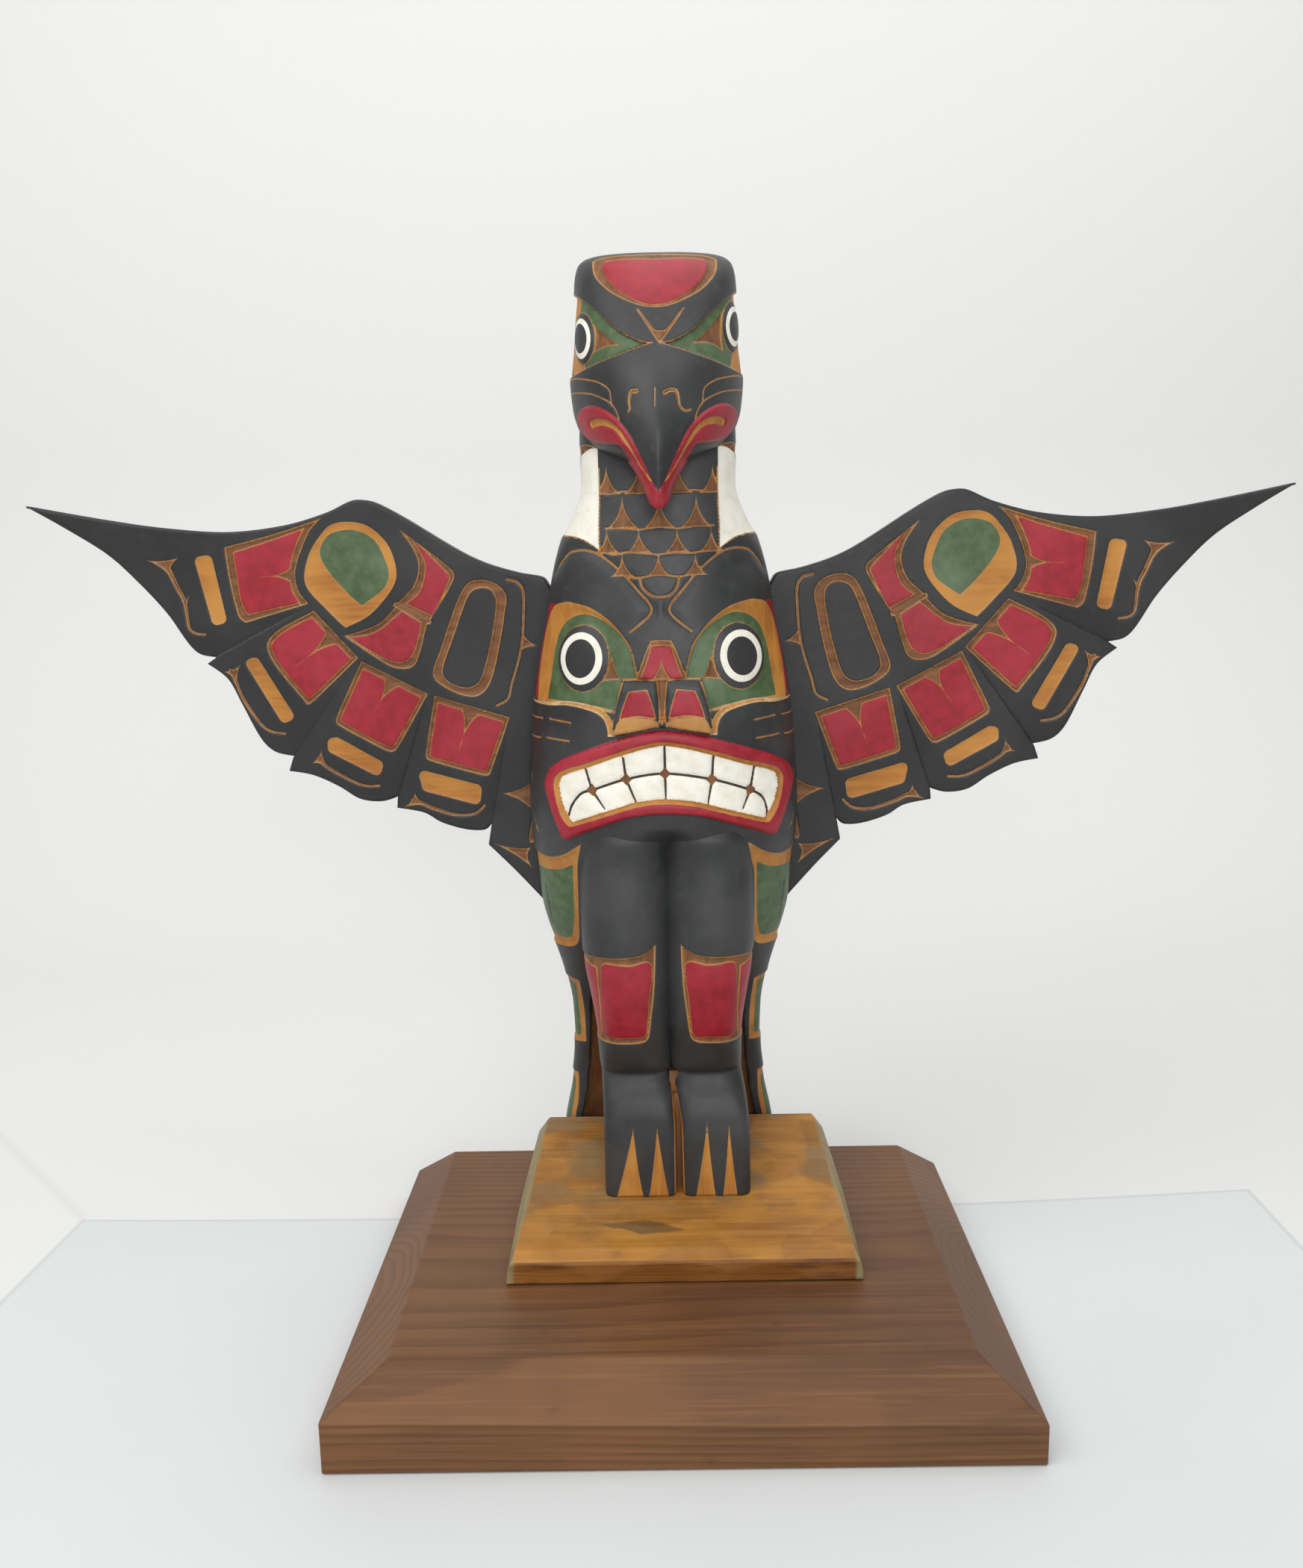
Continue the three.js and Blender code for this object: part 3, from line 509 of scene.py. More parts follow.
def torso():
    """Throat, chest, the big face with its teeth, the flanks and the tail behind the legs."""
    wrap = Wrap(TRUNK, BOARD_T + SEAT_GAP, TRUNK_TOP)
    art = Drawing(wrap.s_of, sides=(1, -1))
    lines, shapes, shape = art.lines, art.shapes, art.add
    skew = lambda a: a + np.stack([2.9 * np.abs(a[:, 0]) / 59, np.zeros(len(a))], 1)
    lip = shape("lip", skew(path(both_sides(LIP))), sides=(1,))
    teeth = shape("teeth", skew(path(both_sides(TEETH), step=0.8)), sides=(1,))
    lines += [(offset(lip[0], -0.9), True), (offset(teeth[0], 1.9), True), (offset(teeth[0], 0.5), True)]
    shape("bridge", both_sides(BRIDGE), sides=(1,))
    shape("bridge_red", both_sides(BRIDGE_RED), sides=(1,))
    for a in shape("nostril", NOSTRIL):
        lines.append((offset(a, -0.8), True))
    shape("nostril_red", NOSTRIL_RED)
    shape("nostril_pale", NOSTRIL_PALE)
    shape("socket", SOCKET)
    shape("green", GREEN)
    shape("eye", ellipse(38.3, 343.7, 13.1, 16.0, -10))
    shape("ring_out", ellipse(38.9, 343.7, 10.5, 12.4, -12), step=0.6)
    shape("ring_in", ellipse(38.9, 343.7, 7.4, 9.2, -12), step=0.6)
    shape("eye_wedge", trigon((23.5, 346.2), (19.2, 333.6), (33.0, 331), 0.3))
    shape("cream", ribbon(path([(66, 320.9), (55, 321.2), (44.3, 322.3), (32, 320.0), (26.8, 316.6), (24.6, 311.6),
                                (24.2, 307.4)], False, 0.7), 0.8, 3.6))
    shape("chest", CHEST, False, 0.7)
    shape("white", THROAT_WHITE)
    shape("tan", THROAT_TAN)
    shape("flank", FLANK)
    shape("flank_green", FLANK_GREEN)
    shape("flank_cut", [(62.5, 226), (60.8, 212), (60.2, 203)], False)
    shape("panel2", [(46.7, 168, 1), (54.2, 169.4, 1), (60.2, 164.4), (60.6, 131.4), (51.1, 125.9, 1),
                     (44.8, 126.9, 1), (44.9, 147.4)])
    shape("panel2_green", [(49.1, 164.8, 1), (57.2, 165.8), (57.7, 133.6), (50.8, 130), (48, 131.5), (48.4, 147.3)])
    shape("panel3", [(50.0, 105.6, 1), (58.3, 106.2, 1), (64.6, 91), (66.4, 74), (67, 50), (58, 46, 1),
                     (55.4, 47, 1), (53.4, 74), (50.8, 88.5)])
    shape("panel3_green", [(53.0, 100.5), (59.0, 102.6), (62.6, 88.6), (64.4, 74), (64.6, 54), (58.6, 50, 1),
                           (56.4, 74), (53.8, 88.6)])
    dashes = [((44, 313.1), (55, 314.0)), ((58.6, 313.7), (66.5, 312.8)), ((45, 304.2), (57, 304.6)),
              ((60.2, 303.9), (69, 302.6))]
    for ends in dashes:
        shape("dash", ends, False)
    shape("chin", [(65.6, 300), (66.2, 290), (66.4, 275), (65.2, 262), (63.2, 255)], False)
    for z0, xs, tall, wide in SCALES:
        for x in xs:
            t = trigon((x, z0 + tall), (x - wide, z0 - 0.7), (x + wide, z0 - 0.5), 0.42, 0.06)
            shape("scale", t, sides=(1,))
    rows = [[(-27.4, 421.5), (-24, 420.2), (-16, 421.2), (-9.5, 420.2), (0, 421.4), (9.5, 420.4), (16, 421.3),
             (25, 420.4), (27.6, 421.2)],
            [(-25.4, 404.4), (-17, 404.2), (-9, 403.6), (0, 404.6), (9, 403.8), (18, 404.9), (25.6, 404.9)],
            [(-28.6, 394.4), (-22, 392.2), (-15.5, 393.2), (-9.6, 392.8), (-1, 392), (8, 392.8), (14, 392.4),
             (24, 393.4), (26.6, 393.4)],
            [(-20, 385.4), (-17, 383.6), (-13, 381.4), (-8, 381.6), (-0.6, 382.8), (7, 381.8), (12, 382),
             (17, 384.4), (21, 386.6)],
            [(-9.4, 381.4), (-8.4, 377), (-4.6, 373.4), (-0.2, 372.4), (4.6, 373.2), (7.8, 376.6), (9, 381.6)]]
    for row in rows:
        shape("row", row, False, 0.8, (1,))
    nodes = [(-34.1, 281.3), (-17.6, 287.1), (0.9, 289.7), (23.1, 286.2), (41.5, 279.6)]
    mid = [(-46.2, 265.6), (-44.4, 272.6), (-39.5, 279.2)] + nodes + [(47.6, 275.2), (49.8, 268.6), (49.4, 264.4)]
    shape("bite", mid, False, 0.7, (1,))
    tops = [(-36.8, 291.3), (-18.8, 297.2), (0.8, 302.6), (23.8, 297.4), (43.5, 290.8)]
    lows = [(-28.2, 272.6), (-13.1, 276.1), (1.1, 277.3), (21.2, 275.2), (37.9, 270.8)]
    for mid_node, top, low in zip(nodes, tops, lows):
        shape("top", [mid_node, top], False, 0.7, (1,))
        shape("low", [mid_node, low], False, 0.7, (1,))
    rim = shape("rim", [(x, z) for z, x, _ in HOLLOW[:-1]], False)
    for a in rim:
        lines.append((a - np.sign(a[:, :1]) * [[0.7, 0]], False))

    def form(s, z, xy):
        P = np.stack([s, z], 1)
        p = Paint(P)
        near_of, pen = art.distance(P), art.pen(P)
        h = np.zeros(len(P))
        # eye sockets, sunk between brow and cheek
        d_sock, d_green, d_eye = near_of("socket"), near_of("green", 12), near_of("eye", 12)
        slope = np.clip(-d_sock / np.maximum(-d_sock + np.maximum(d_green, 0), 0.01), 0, 1)
        floor = -SOCKET_D + 1.5 * ramp(z, 336, 321.5)
        side = 1 - ramp(np.abs(s), 74, 90)
        h = np.where(d_sock < 0, floor * np.where(d_green > 0, ramp(slope, 0, 1), 1) * side, h)
        ball = np.clip(-d_eye / 12.5, 0, 1)
        h = np.where(d_eye < 0, -SOCKET_D + 0.45 + EYE_H * (1 - (1 - ball) ** 2), h)
        p.flat(band(d_sock, d_green))
        p.add("green", np.maximum(d_green, -d_eye))
        p.flat(np.abs(d_eye + 0.15) - 0.28)
        wedge = np.maximum(near_of("eye_wedge"), -d_eye)
        p.bare(wedge)
        p.add("white", band(near_of("ring_out"), near_of("ring_in")))
        p.add("ink", np.maximum(near_of("ring_in"), d_eye))
        cream = near_of("cream", 4)
        p.bare(cream)
        # a red band behind the socket, round the side
        p.add("red", np.maximum.reduce([d_sock - 5.2, 0.2 - d_sock, 54 - np.abs(s), z - 369, 322.4 - z]))
        # nose
        d_bridge, d_nost = near_of("bridge"), near_of("nostril")
        rise = ramp(z, 353, 336)
        h = np.where(d_bridge < 0,
                     np.maximum(h, 0.5 * ramp(-d_bridge, 0, 0.8) + NOSE_TOP_H * rise * ramp(-d_bridge, -0.3, 1.0)),
                     h)
        lift = NOSE_H - 1.1 * ramp(z, 316, 309) - 1.3 * ramp(z, 328, 335)
        mid_valley = 1.5 * (1 - ramp(np.abs(s), 0.2, 4.0)) * ramp(z, 309, 314)
        h = np.where((d_nost < 0) | ((np.abs(s) < 2.4) & (z > 312) & (z < 334)),
                     np.maximum(h, lift * np.where(np.abs(s) < 2.4, 1, ramp(-d_nost, -0.2, 1.0)) - mid_valley), h)
        d_red = near_of("bridge_red")
        notch = sdf(wrap.s_of(trigon((0, 343.6), (-5.2, 333.8), (5.2, 333.8), 0.3)), P)
        p.add("wood", band(d_bridge, d_red))
        p.add("red", np.maximum(d_red, -notch))
        p.add("wood", np.maximum(notch, d_bridge))
        strip = stroke(np.array([(0.1, 335.5), (0, 324), (-0.1, 313.4)]), P, 5.4, 0.8)
        p.add("wood", np.maximum(strip, z - 335.2))
        d_nr, d_np = near_of("nostril_red"), near_of("nostril_pale")
        p.add("red", d_nr)
        p.flat(np.maximum(d_np, -d_nr))
        p.add("wood", np.maximum(np.abs(d_nr + 0.05) - 0.32, -strip))
        p.red = np.where(np.abs(d_nr + 0.05) < 0.32, np.maximum(p.red, 0.32 - np.abs(d_nr + 0.05)), p.red)
        p.add("wood", np.maximum(np.abs(d_nost + 0.1) - 0.3, 314 - z))
        # mouth
        d_lip, d_teeth = near_of("lip", 9), near_of("teeth", 9)
        lip_h = LIP_H * ramp(-d_lip, -0.1, 1.1) - (LIP_H - TEETH_H + 0.5) * (1 - ramp(d_teeth, 0.0, 2.2))
        bulge = 1 - np.clip((-d_lip - d_teeth) / 4, -1, 1) ** 2
        lip_h += 0.35 * bulge * ramp(-d_lip, 0, 1) * ramp(d_teeth, 1, 2.2)
        bite = pen("bite", 1.25)
        cuts = np.minimum(pen("top", 1.4, 1.1), pen("low", 1.5, 0.7))

        def star(q):
            away = np.hypot(s - wrap.s_of(np.array([q]))[0][0], z - q[1])
            return away + 0.45 * np.abs(np.sin(2 * np.arctan2(z - q[1], s - q[0]))) * 2 - 2.9

        # four-pointed gaps where the teeth of both rows meet
        stars = np.minimum.reduce([star(q) for q in nodes])
        gap = np.minimum(np.minimum(bite, cuts), stars)
        tooth = TEETH_H + 0.45 * ramp(gap, 0.2, 5.0) - 1.25 * ramp(-gap, -0.9, 0.35)
        h = np.where(d_lip < 0, np.where(d_teeth < 0, tooth, lip_h), h)
        p.add("red", np.maximum(d_lip, 1.9 - d_teeth))
        p.flat(np.maximum(d_lip, d_teeth - 2.0))
        p.add("white", np.maximum(d_teeth + 0.15, -gap))
        p.add("ink", np.maximum(np.minimum(bite, cuts) + 0.1, d_teeth + 0.1))
        p.ink = np.maximum(p.ink, -(stars + 0.25))
        gapdeep = np.where(d_teeth < 0, ramp(-gap, -0.4, 0.5), 0)
        # throat scales, white sides, chest
        p.add("wood", near_of("scale", 3))
        for i, line in enumerate(shapes["row"]):
            p.add("wood", stroke(line, P, 0.75 if i < 4 else 1.1))
        d_white, d_tan = near_of("white"), near_of("tan")
        p.add("white", d_white)
        h = np.where(d_white < 0, -0.7 * ramp(-d_white, 0, 0.8), h)
        p.add("wood", np.maximum(np.abs(d_white - 0.35) - 0.42, np.maximum(z - 432, 0) * 2 - 1))
        p.add("wood", d_tan)
        h = np.where(d_tan < 0, -1.2 * ramp(-d_tan, 0, 1.4), h)
        p.add("wood", pen("chest", 1.0))
        chest = pen("chest", 0.0)
        h -= 0.8 * np.exp(-(np.clip(chest, 0, 9) / 3.2) ** 2) * ramp(z, 352, 366) * (np.abs(s) > 1)
        p.add("wood", pen("dash", 0.75))
        p.add("wood", pen("chin", 1.5, 0.8))
        # flank and tail rim panels
        cut = pen("flank_cut", 0.9, 0.4)
        for k, pad, sunk, run in (("flank", 9, 1.3, 2.6), ("panel2", 7, 0.8, 1.6), ("panel3", 7, 0.8, 1.6)):
            d_o, d_g = near_of(k, pad), near_of(k + "_green", pad)
            p.flat(band(d_o, d_g))
            p.add("green", d_g)
            h = np.where(d_o < 0, -sunk * ramp(-d_o, 0, run), h)
            if k == "flank":
                h -= 0.5 * ramp(-cut, -0.5, 0.2)
        p.add("ink", cut)
        deep = np.clip(p.groove(1.0), 0, 1)
        h = h - 0.95 * p.groove(1.0)
        # tail hollow behind the legs
        x = np.abs(xy[:, 0])
        hz, hx, hy = np.array(HOLLOW).T
        edge, back = np.interp(z, hz, hx), np.interp(z, hz, hy)
        fore = (np.abs(s) < np.interp(z, wrap.z, wrap.side)) & (z < 175)
        inside = ramp(edge - x, 0, 0.7) * fore
        push = np.maximum(back - xy[:, 1], 0) * inside * ramp(z, 176, 170)
        p.wood = np.where(fore, np.minimum(p.wood, x - edge + 0.6), p.wood)
        inner = inside > 0.5
        # the body gives way above the valley between the thighs
        push = push + 9 * np.exp(-((xy[:, 0] - 1) / 10) ** 2) * ramp(z, 263, 250) * ramp(z, 214,
                                                                                         232) * (xy[:, 1] < 20)
        p.green = np.where(inner, 6, p.green)
        # painted shade: wood darkened in the gaps where the teeth meet and inside the tail hollow
        deep = np.maximum(deep, np.maximum(gapdeep, 0.75 * inside))
        # pale wood: the line under the socket, the nose's foot
        deep = deep - 1.2 * ramp(-cream, -0.3, 0.3) - 0.3 * ramp(-np.maximum(d_np, -d_nr), -0.1, 0.2)
        return h, p.attrs(deep), push

    ds = lambda s, z: (0.95 if z > 238 else 1.35) if abs(s) < 80 else 2.8
    dz = lambda z: 0.84 if z > 238 else 1.2
    return wrapped("figure_torso", wrap, lines, dz, ds, form)


# ---------------------------------------------------------------- thunderbird head
HEAD_SOCKET_D, BEAK_LIP_H = 1.8, 1.3
PATCH = [(0, 528.6), (14, 528.4), (24, 527.8), (29.0, 526.2, 1), (27.6, 518), (20.2, 509.4), (8.6, 503), (0, 501.4)]
PATCH_RED = [(0, 525.4), (13, 525.8), (22, 525.4), (24.2, 523.6), (23, 518), (17.2, 510.6), (7.5, 504.4),
             (0, 502.9)]
SOCKET_UP = [(44, 517), (39.5, 514), (35.4, 509.9), (26.4, 501.4), (17.4, 492.2), (8.6, 486.6), (1.2, 484.9, 1),
             (16.5, 480.3), (27.7, 477.1), (34, 475.4), (38, 474.6), (46, 474.2), (72, 474.8, 1), (72, 513, 1),
             (56, 515.6)]
SOCKET_REAR = (56, 495)
BEAK_UP = [(2.1, 423.2), (7.7, 435.6), (13.5, 446.8), (20.5, 454.6), (28, 458.9), (33, 459.4), (36.2, 457.4),
           (36.4, 453.4),
           (34, 448.8), (31, 444.6), (24.5, 442.2), (16.6, 440.3), (12.6, 433.2), (8.2, 422.6), (4.6, 415.6),
           (0.0, 411.4)]


def head():
    """Bird's head: patch on the brow, sockets with eyes, lipped beak, cheek lines."""
    wrap = Wrap(HEAD, HEAD_FOOT, HEAD_TOP)
    art = Drawing(wrap.s_of, 0.8, (1, -1))
    lines, shapes, shape = art.lines, art.shapes, art.add
    shape("patch", both_sides(PATCH), sides=(1,))
    shape("patch_red", both_sides(PATCH_RED), sides=(1,))
    rear = wrap.s_of([SOCKET_REAR])[0][0]
    for a in shape("socket", SOCKET_UP):
        a[:, 0] = np.clip(a[:, 0], -rear, rear)
        lines.append((offset(a, -0.8), True))
    shape("ledge", [(44, 511.4), (36.5, 507.2), (29, 500.3), (20, 491.4), (11, 486.6), (4, 485.2, 1),
                    (16.5, 482.8), (27.7, 479.6), (34, 478)], False)
    shape("vee_l", [(-8.1, 500.6), (-4.6, 495.2), (1.2, 486.2)], False, 0.7, (1,))
    shape("vee_r", [(12.7, 501.2), (8.2, 494.6), (2.0, 486.2)], False, 0.7, (1,))
    for m, at in ((1, (36.8, 495.4)), (-1, (-35.0, 490.6))):
        c = wrap.s_of(np.array([at]))[0]
        for name, r in (("eye", 12.3), ("ring_out", 9.5), ("ring_in", 7.0)):
            e = ellipse(c[0] + m * 0.6, c[1] - 0.1, r * (0.93 if name == "eye" else 0.95), r, m * -8)
            shapes.setdefault(name, []).append(e)
            lines.append((e, True))
    shape("trig", trigon((33.4, 503.4), (16.8, 484.8), (32.4, 482.6), 0.28), sides=(1,))
    shape("trig", trigon((33.4, 500.6), (16.6, 484.4), (31.4, 481.4), 0.28), sides=(-1,))
    shape("lip", BEAK_UP[:-1] + [(-0.7, 411.8), (-0.7, 418.6)])
    shape("slit", [(29.4, 451.0), (26.5, 451.6), (22, 450.6), (17.2, 447.2), (12.8, 440.8), (8.6, 433.8),
                   (5.3, 428.2), (3.1, 424.4)], False, 0.7)
    shape("nose_r", [(3.4, 462.4), (6, 463.6), (8.5, 463.2), (9.4, 460.2), (10.0, 456.8), (12.0, 454.8),
                     (14.8, 455.2)], False, 0.6, (1,))
    shape("nose_l", [(-9.0, 463.6), (-11.4, 463.2), (-12.2, 459.5), (-12.0, 456.0), (-12.8, 454.9)], False, 0.6,
          (1,))
    shape("cheek1", [(46, 473.6), (40.1, 473.4), (33, 471.4), (26.8, 469.2), (21.6, 465.4), (20.6, 461.0),
                     (20.3, 458.2)], False, 0.7)
    shape("cheek2", [(41, 467.4), (36.9, 466.4), (30, 464.4), (25, 462.0), (20.4, 458.8), (17.6, 453.8),
                     (17.0, 450.4)], False, 0.7)
    shape("ridge", [(-0.8, 464.6), (-1.0, 456.4)], False, 0.7, (1,))
    shape("jaw", [(44, 449.4), (41.5, 447.2), (39.4, 446.6), (36.4, 444.2)], False, 0.7)

    def form(s, z, xy):
        P = np.stack([s, z], 1)
        p = Paint(P)
        near_of, pen = art.distance(P), art.pen(P)
        h = np.zeros(len(P))
        d_p, d_r = near_of("patch"), near_of("patch_red")
        p.add("wood", band(d_p, d_r))
        p.add("red", d_r)
        h = np.where(d_p < 0, -0.5 * ramp(-d_p, 0, 1.6), h)
        foot = sdf(wrap.s_of(trigon((1.5, 484.0), (-2.9, 492.6), (6.4, 492.4), 0.2, 0.8)), P)
        p.add("wood", np.minimum(np.minimum(pen("vee_l", 0.9, 1.7), pen("vee_r", 0.9, 1.7)), foot))
        d_s, d_e = near_of("socket", 12), near_of("eye", 12)
        h = np.where(d_s < 0, -HEAD_SOCKET_D * ramp(-d_s, -0.1, 1.3), h)
        ball = np.clip(-d_e / 11.5, 0, 1)
        h = np.where(d_e < 0, -HEAD_SOCKET_D + 0.35 + 1.9 * (1 - (1 - ball) ** 2), h)
        a = np.abs(s)
        eye_s = np.where(s > 0, shapes["eye"][0][:, 0].mean(), -shapes["eye"][1][:, 0].mean())
        behind = np.maximum(np.maximum(d_s, -d_e), eye_s + 4.0 - a - 0.28 * np.abs(z - 492))
        p.flat(behind)
        p.add("wood", np.abs(d_s + 0.25) - 0.3)
        p.add("green", np.maximum(np.maximum(d_s + 0.9, -d_e), -behind))
        wedge = np.maximum(near_of("trig"), -d_e)
        p.bare(wedge)
        p.flat(np.maximum(np.abs(d_e) - 0.25, 476 - z))
        p.add("white", band(near_of("ring_out"), near_of("ring_in")))
        d_l, slit = near_of("lip"), pen("slit", 3.4, 0.7)
        h = np.where(d_l < 0, BEAK_LIP_H * ramp(-d_l, -0.1, 1.1) - 1.5 * ramp(-slit, -0.8, 1.0), h)
        p.add("red", np.maximum(d_l, -slit))
        p.flat(np.maximum(slit, d_l))
        for name, w0, w1 in (("nose_r", 1.8, 0.9), ("nose_l", 2.1, 0.9), ("cheek1", 0.6, 0.7),
                             ("cheek2", 0.55, 0.75), ("ridge", 0.5, 0.3), ("jaw", 1.2, 0.6)):
            p.add("wood", pen(name, w0, w1))
        g = p.groove(1.0)
        return h - 0.9 * g, p.attrs(np.clip(g, 0, 1)), 0.0
    ds = lambda s, z: (0.78 if abs(s) < 74 else 2.4) if z > 430 else 0.9
    dz = lambda z: 0.68
    return wrapped("figure_head", wrap, lines, dz, ds, form)


# ---------------------------------------------------------------- legs and feet
PATCH_LEG = [(6.1, 203.2, 1), (12.3, 199.2), (20.1, 197.8), (33, 197.4), (42, 196.4), (52, 196, 1), (51, 170),
             (45, 149, 1),
             (33.8, 148.2), (14.2, 149.4), (10.6, 152.4), (8.8, 165), (7.0, 182)]
LEG_RED = [(8.6, 193.4), (20, 193.2), (31.6, 194), (33.6, 190), (34.2, 176), (34.0, 164), (32.8, 152.4),
           (21.3, 152.6), (12.6, 153.2),
           (11.0, 160), (9.8, 174)]
LEG_SIDE = [(36.2, 191, 1), (44, 192.6), (48, 190, 1), (46, 168), (42, 152), (35.4, 151.2, 1), (35.2, 164),
            (35.6, 178)]
CLAWS = {1: [((19.7, 102.2), (13.2, 62.0), (23.9, 62.0)), ((30.9, 100.8), (27.4, 61.4), (35.4, 61.4))],
         -1: [((-6.2, 99.7), (-11.2, 62.0), (-0.4, 62.0)), ((-18.6, 99.3), (-28.4, 61.6), (-13.7, 62.0))]}


def leg_warp(z, side):
    """Shift of the pair and how far the inner edge gives way for the cleft."""
    z = np.asarray(z, float)
    shift = np.interp(z, [r[0] for r in LEG], [r[5] for r in LEG])
    c = np.array(CLEFT)
    mid, half = np.interp(z, c[:, 0], c[:, 1]), np.interp(z, c[:, 0], c[:, 2])
    return shift, 0.5 + half + side * np.where(z < 128, mid - shift, 0)


def leg(side):
    """One leg with its foot, made as a right leg in its own frame and then put in place."""
    table = [[z, (xo - xi) / 2, (yf + yb) / 2, yf, yb, n, n] for z, xi, xo, yf, yb, _, n in LEG]
    mid = curve([[r[0], (r[1] + r[2]) / 2] for r in LEG])
    front = curve([[r[0], r[3]] for r in LEG])
    wrap = Wrap(table, LEG_FOOT, LEG_TOP, lambda z: mid(z)[:, 0])
    art = Drawing(wrap.s_of)
    for name, ctrl in (("patch", PATCH_LEG), ("red", LEG_RED), ("red", LEG_SIDE)):
        art.add(name, ctrl)
    for apex, left, right in CLAWS[side]:
        t = trigon(apex, left, right, 0.13, 0.0)
        shift, give = leg_warp(t[:, 1], side)
        t[:, 0] = side * (t[:, 0] - shift)
        t[:, 0] = np.where(t[:, 0] < 12, (t[:, 0] - give) / (1 - give / 12), t[:, 0])
        low = t[:, 1] < INSTEP
        t[low, 1] = INSTEP - (INSTEP - t[low, 1]) * (INSTEP - LEG_FOOT) / CLAW_RISE
        art.add("claw", t)

    def form(s, z, xy):
        P = np.stack([s, z], 1)
        p = Paint(P)
        near_of = art.distance(P)
        d_p, d_r = near_of("patch"), near_of("red")
        p.add("wood", band(d_p, d_r))
        p.add("red", d_r)
        h = np.where(d_p < 0, -0.45 * ramp(-d_p, 0, 1.4), 0.0)
        claw = near_of("claw")
        p.flat(claw)
        h -= 0.35 * ramp(-claw, 0, 0.7)
        # cut wood along the cleft between the feet
        strip = np.where(z < 124.5, xy[:, 0] + 0.5 - np.interp(z, [60, 100, 122], [1.5, 1.3, 0.8]), 6)
        p.wood = np.minimum(p.wood, strip)
        # soft valley between the thighs
        yf = front(z)[:, 0]
        over = np.maximum(xy[:, 1] - yf, 0)
        fore = (s < 0) & (-s < np.interp(z, wrap.z, wrap.side))
        push = np.where(fore, (13 * np.tanh(over / 13) - over) * ramp(z, 126, 138), 0)
        g = p.groove(0.9)
        # painted shade: the wood strip in the cleft between the feet is darkened
        deep = np.clip(np.maximum(g, 0.7 * ramp(-strip, 0.2, 1.2)), 0, 1)
        return h - 0.9 * g, p.attrs(deep), push
    ds = lambda s, z: 1.05 if -30 < s < 52 else 2.2
    ob = wrapped("leg", wrap, art.lines, lambda z: 0.95, ds, form, foot=INSTEP)
    co = np.empty(len(ob.data.vertices) * 3)
    ob.data.vertices.foreach_get("co", co)
    co = co.reshape(-1, 3) / MM
    shift, give = leg_warp(co[:, 2], side)
    co[:, 0] = side * (co[:, 0] + give * np.clip(1 - co[:, 0] / 12, 0, 1.05)) + shift
    ob.data.vertices.foreach_set("co", (co * MM).ravel())
    if side < 0:
        ob.data.flip_normals()
    return ob


def block(x0, x1, y0, y1, z0, z1, foot=True):
    """Plain wooden block; its foot follows the seat or stays level."""
    xs, ys, zs = (np.linspace(a, b, max(2, int((b - a) / 6) + 1)) for a, b in ((x0, x1), (y0, y1), (z0, z1)))
    co, faces = [], []
    for u, v, fixed, axis in ((xs, zs, y0, 1), (xs, zs, y1, 1), (ys, zs, x0, 0), (ys, zs, x1, 0), (xs, ys, z0, 2),
                              (xs, ys, z1, 2)):
        base = len(co)
        for a in u:
            for b in v:
                co.append({0: (fixed, a, b), 1: (a, fixed, b), 2: (a, b, fixed)}[axis])
        for i in range(len(u) - 1):
            for j in range(len(v) - 1):
                k = base + i * len(v) + j
                faces.append((k, k + len(v), k + len(v) + 1, k + 1))
    co = np.array(co)
    low = (co[:, 2] < z0 + 0.01) & foot
    co[low, 2] = seat(co[low, 1])
    n = len(co)
    vals = {k: np.full(n, 6.0) for k in ("p_red", "p_green", "p_white", "p_ink")}
    # painted shade: the blocks' wood is dark brown, as if deep in a cut
    vals["p_wood"], vals["p_deep"] = np.full(n, -2.0), np.full(n, 0.9)
    return make("block", co, faces, vals, smooth=False, weld=0.01)


def join(name, obs):
    bpy.ops.object.select_all(action="DESELECT")
    for o in obs:
        o.select_set(True)
    bpy.context.view_layer.objects.active = obs[0]
    bpy.ops.object.join()
    obs[0].name = name
    obs[0].data.name = name
    return obs[0]


def legs():
    web = [block(-24, 24, 31, 62.7, 62, 178), block(-24, 24, 62, 79, 80.8, 178, False),
           block(-24, 24, 62.9, 79, BOARD_T + SEAT_GAP, 82, False)]
    core = [block(2.6, 7.8, 11.5, 34, 62, 115), block(0.6, 5, 15, 34, 110, 126, False)]
    return join("figure_legs", [leg(1), leg(-1)] + web + core)


# ---------------------------------------------------------------- wings
WING = [(319, 420.6, 1), (281.6, 413.4), (251.5, 408.6), (219.3, 406), (190.3, 408.6), (168.3, 414.4), (156, 419.8),
        (150.5, 420.8), (143, 419.2), (129, 411.6), (102.8, 395.2), (88.7, 388.2), (72.6, 383.2), (60, 380.6),
        (56.6, 376.6),
        (51.6, 368, 1), (60, 300, 1), (60, 222, 1), (62.4, 209, 1), (78.4, 227.1), (92.8, 242.1, 1),
        (90.8, 252.6, 1),
        (94.4, 249.5), (103.8, 250.1), (116.7, 254.2), (125.8, 259.6), (139.7, 262.4, 1), (139.2, 268, 1),
        (147.9, 265.8),
        (159, 267.6), (169.8, 274.5), (182.5, 280.5), (195, 283, 1), (192.4, 290.4, 1), (202.1, 293.3),
        (208.9, 301),
        (216.9, 318.2), (223.3, 331.5), (233.3, 339.7, 1), (228.8, 342.7, 1), (236.9, 344.4), (242, 349.5),
        (251.6, 365.3),
        (264.8, 381.1), (279.8, 395.9), (300.2, 409.4)]
STEPS = [((178.6, 368.1), (228.8, 342.7), (236, 358)), ((156.2, 340.5), (192, 290.6), (207, 299)),
         ((120.8, 322.1), (139.4, 267), (156, 270)), ((79.4, 309.2), (90.7, 251.5), (107, 252.5))]
STEP_D = 2.4
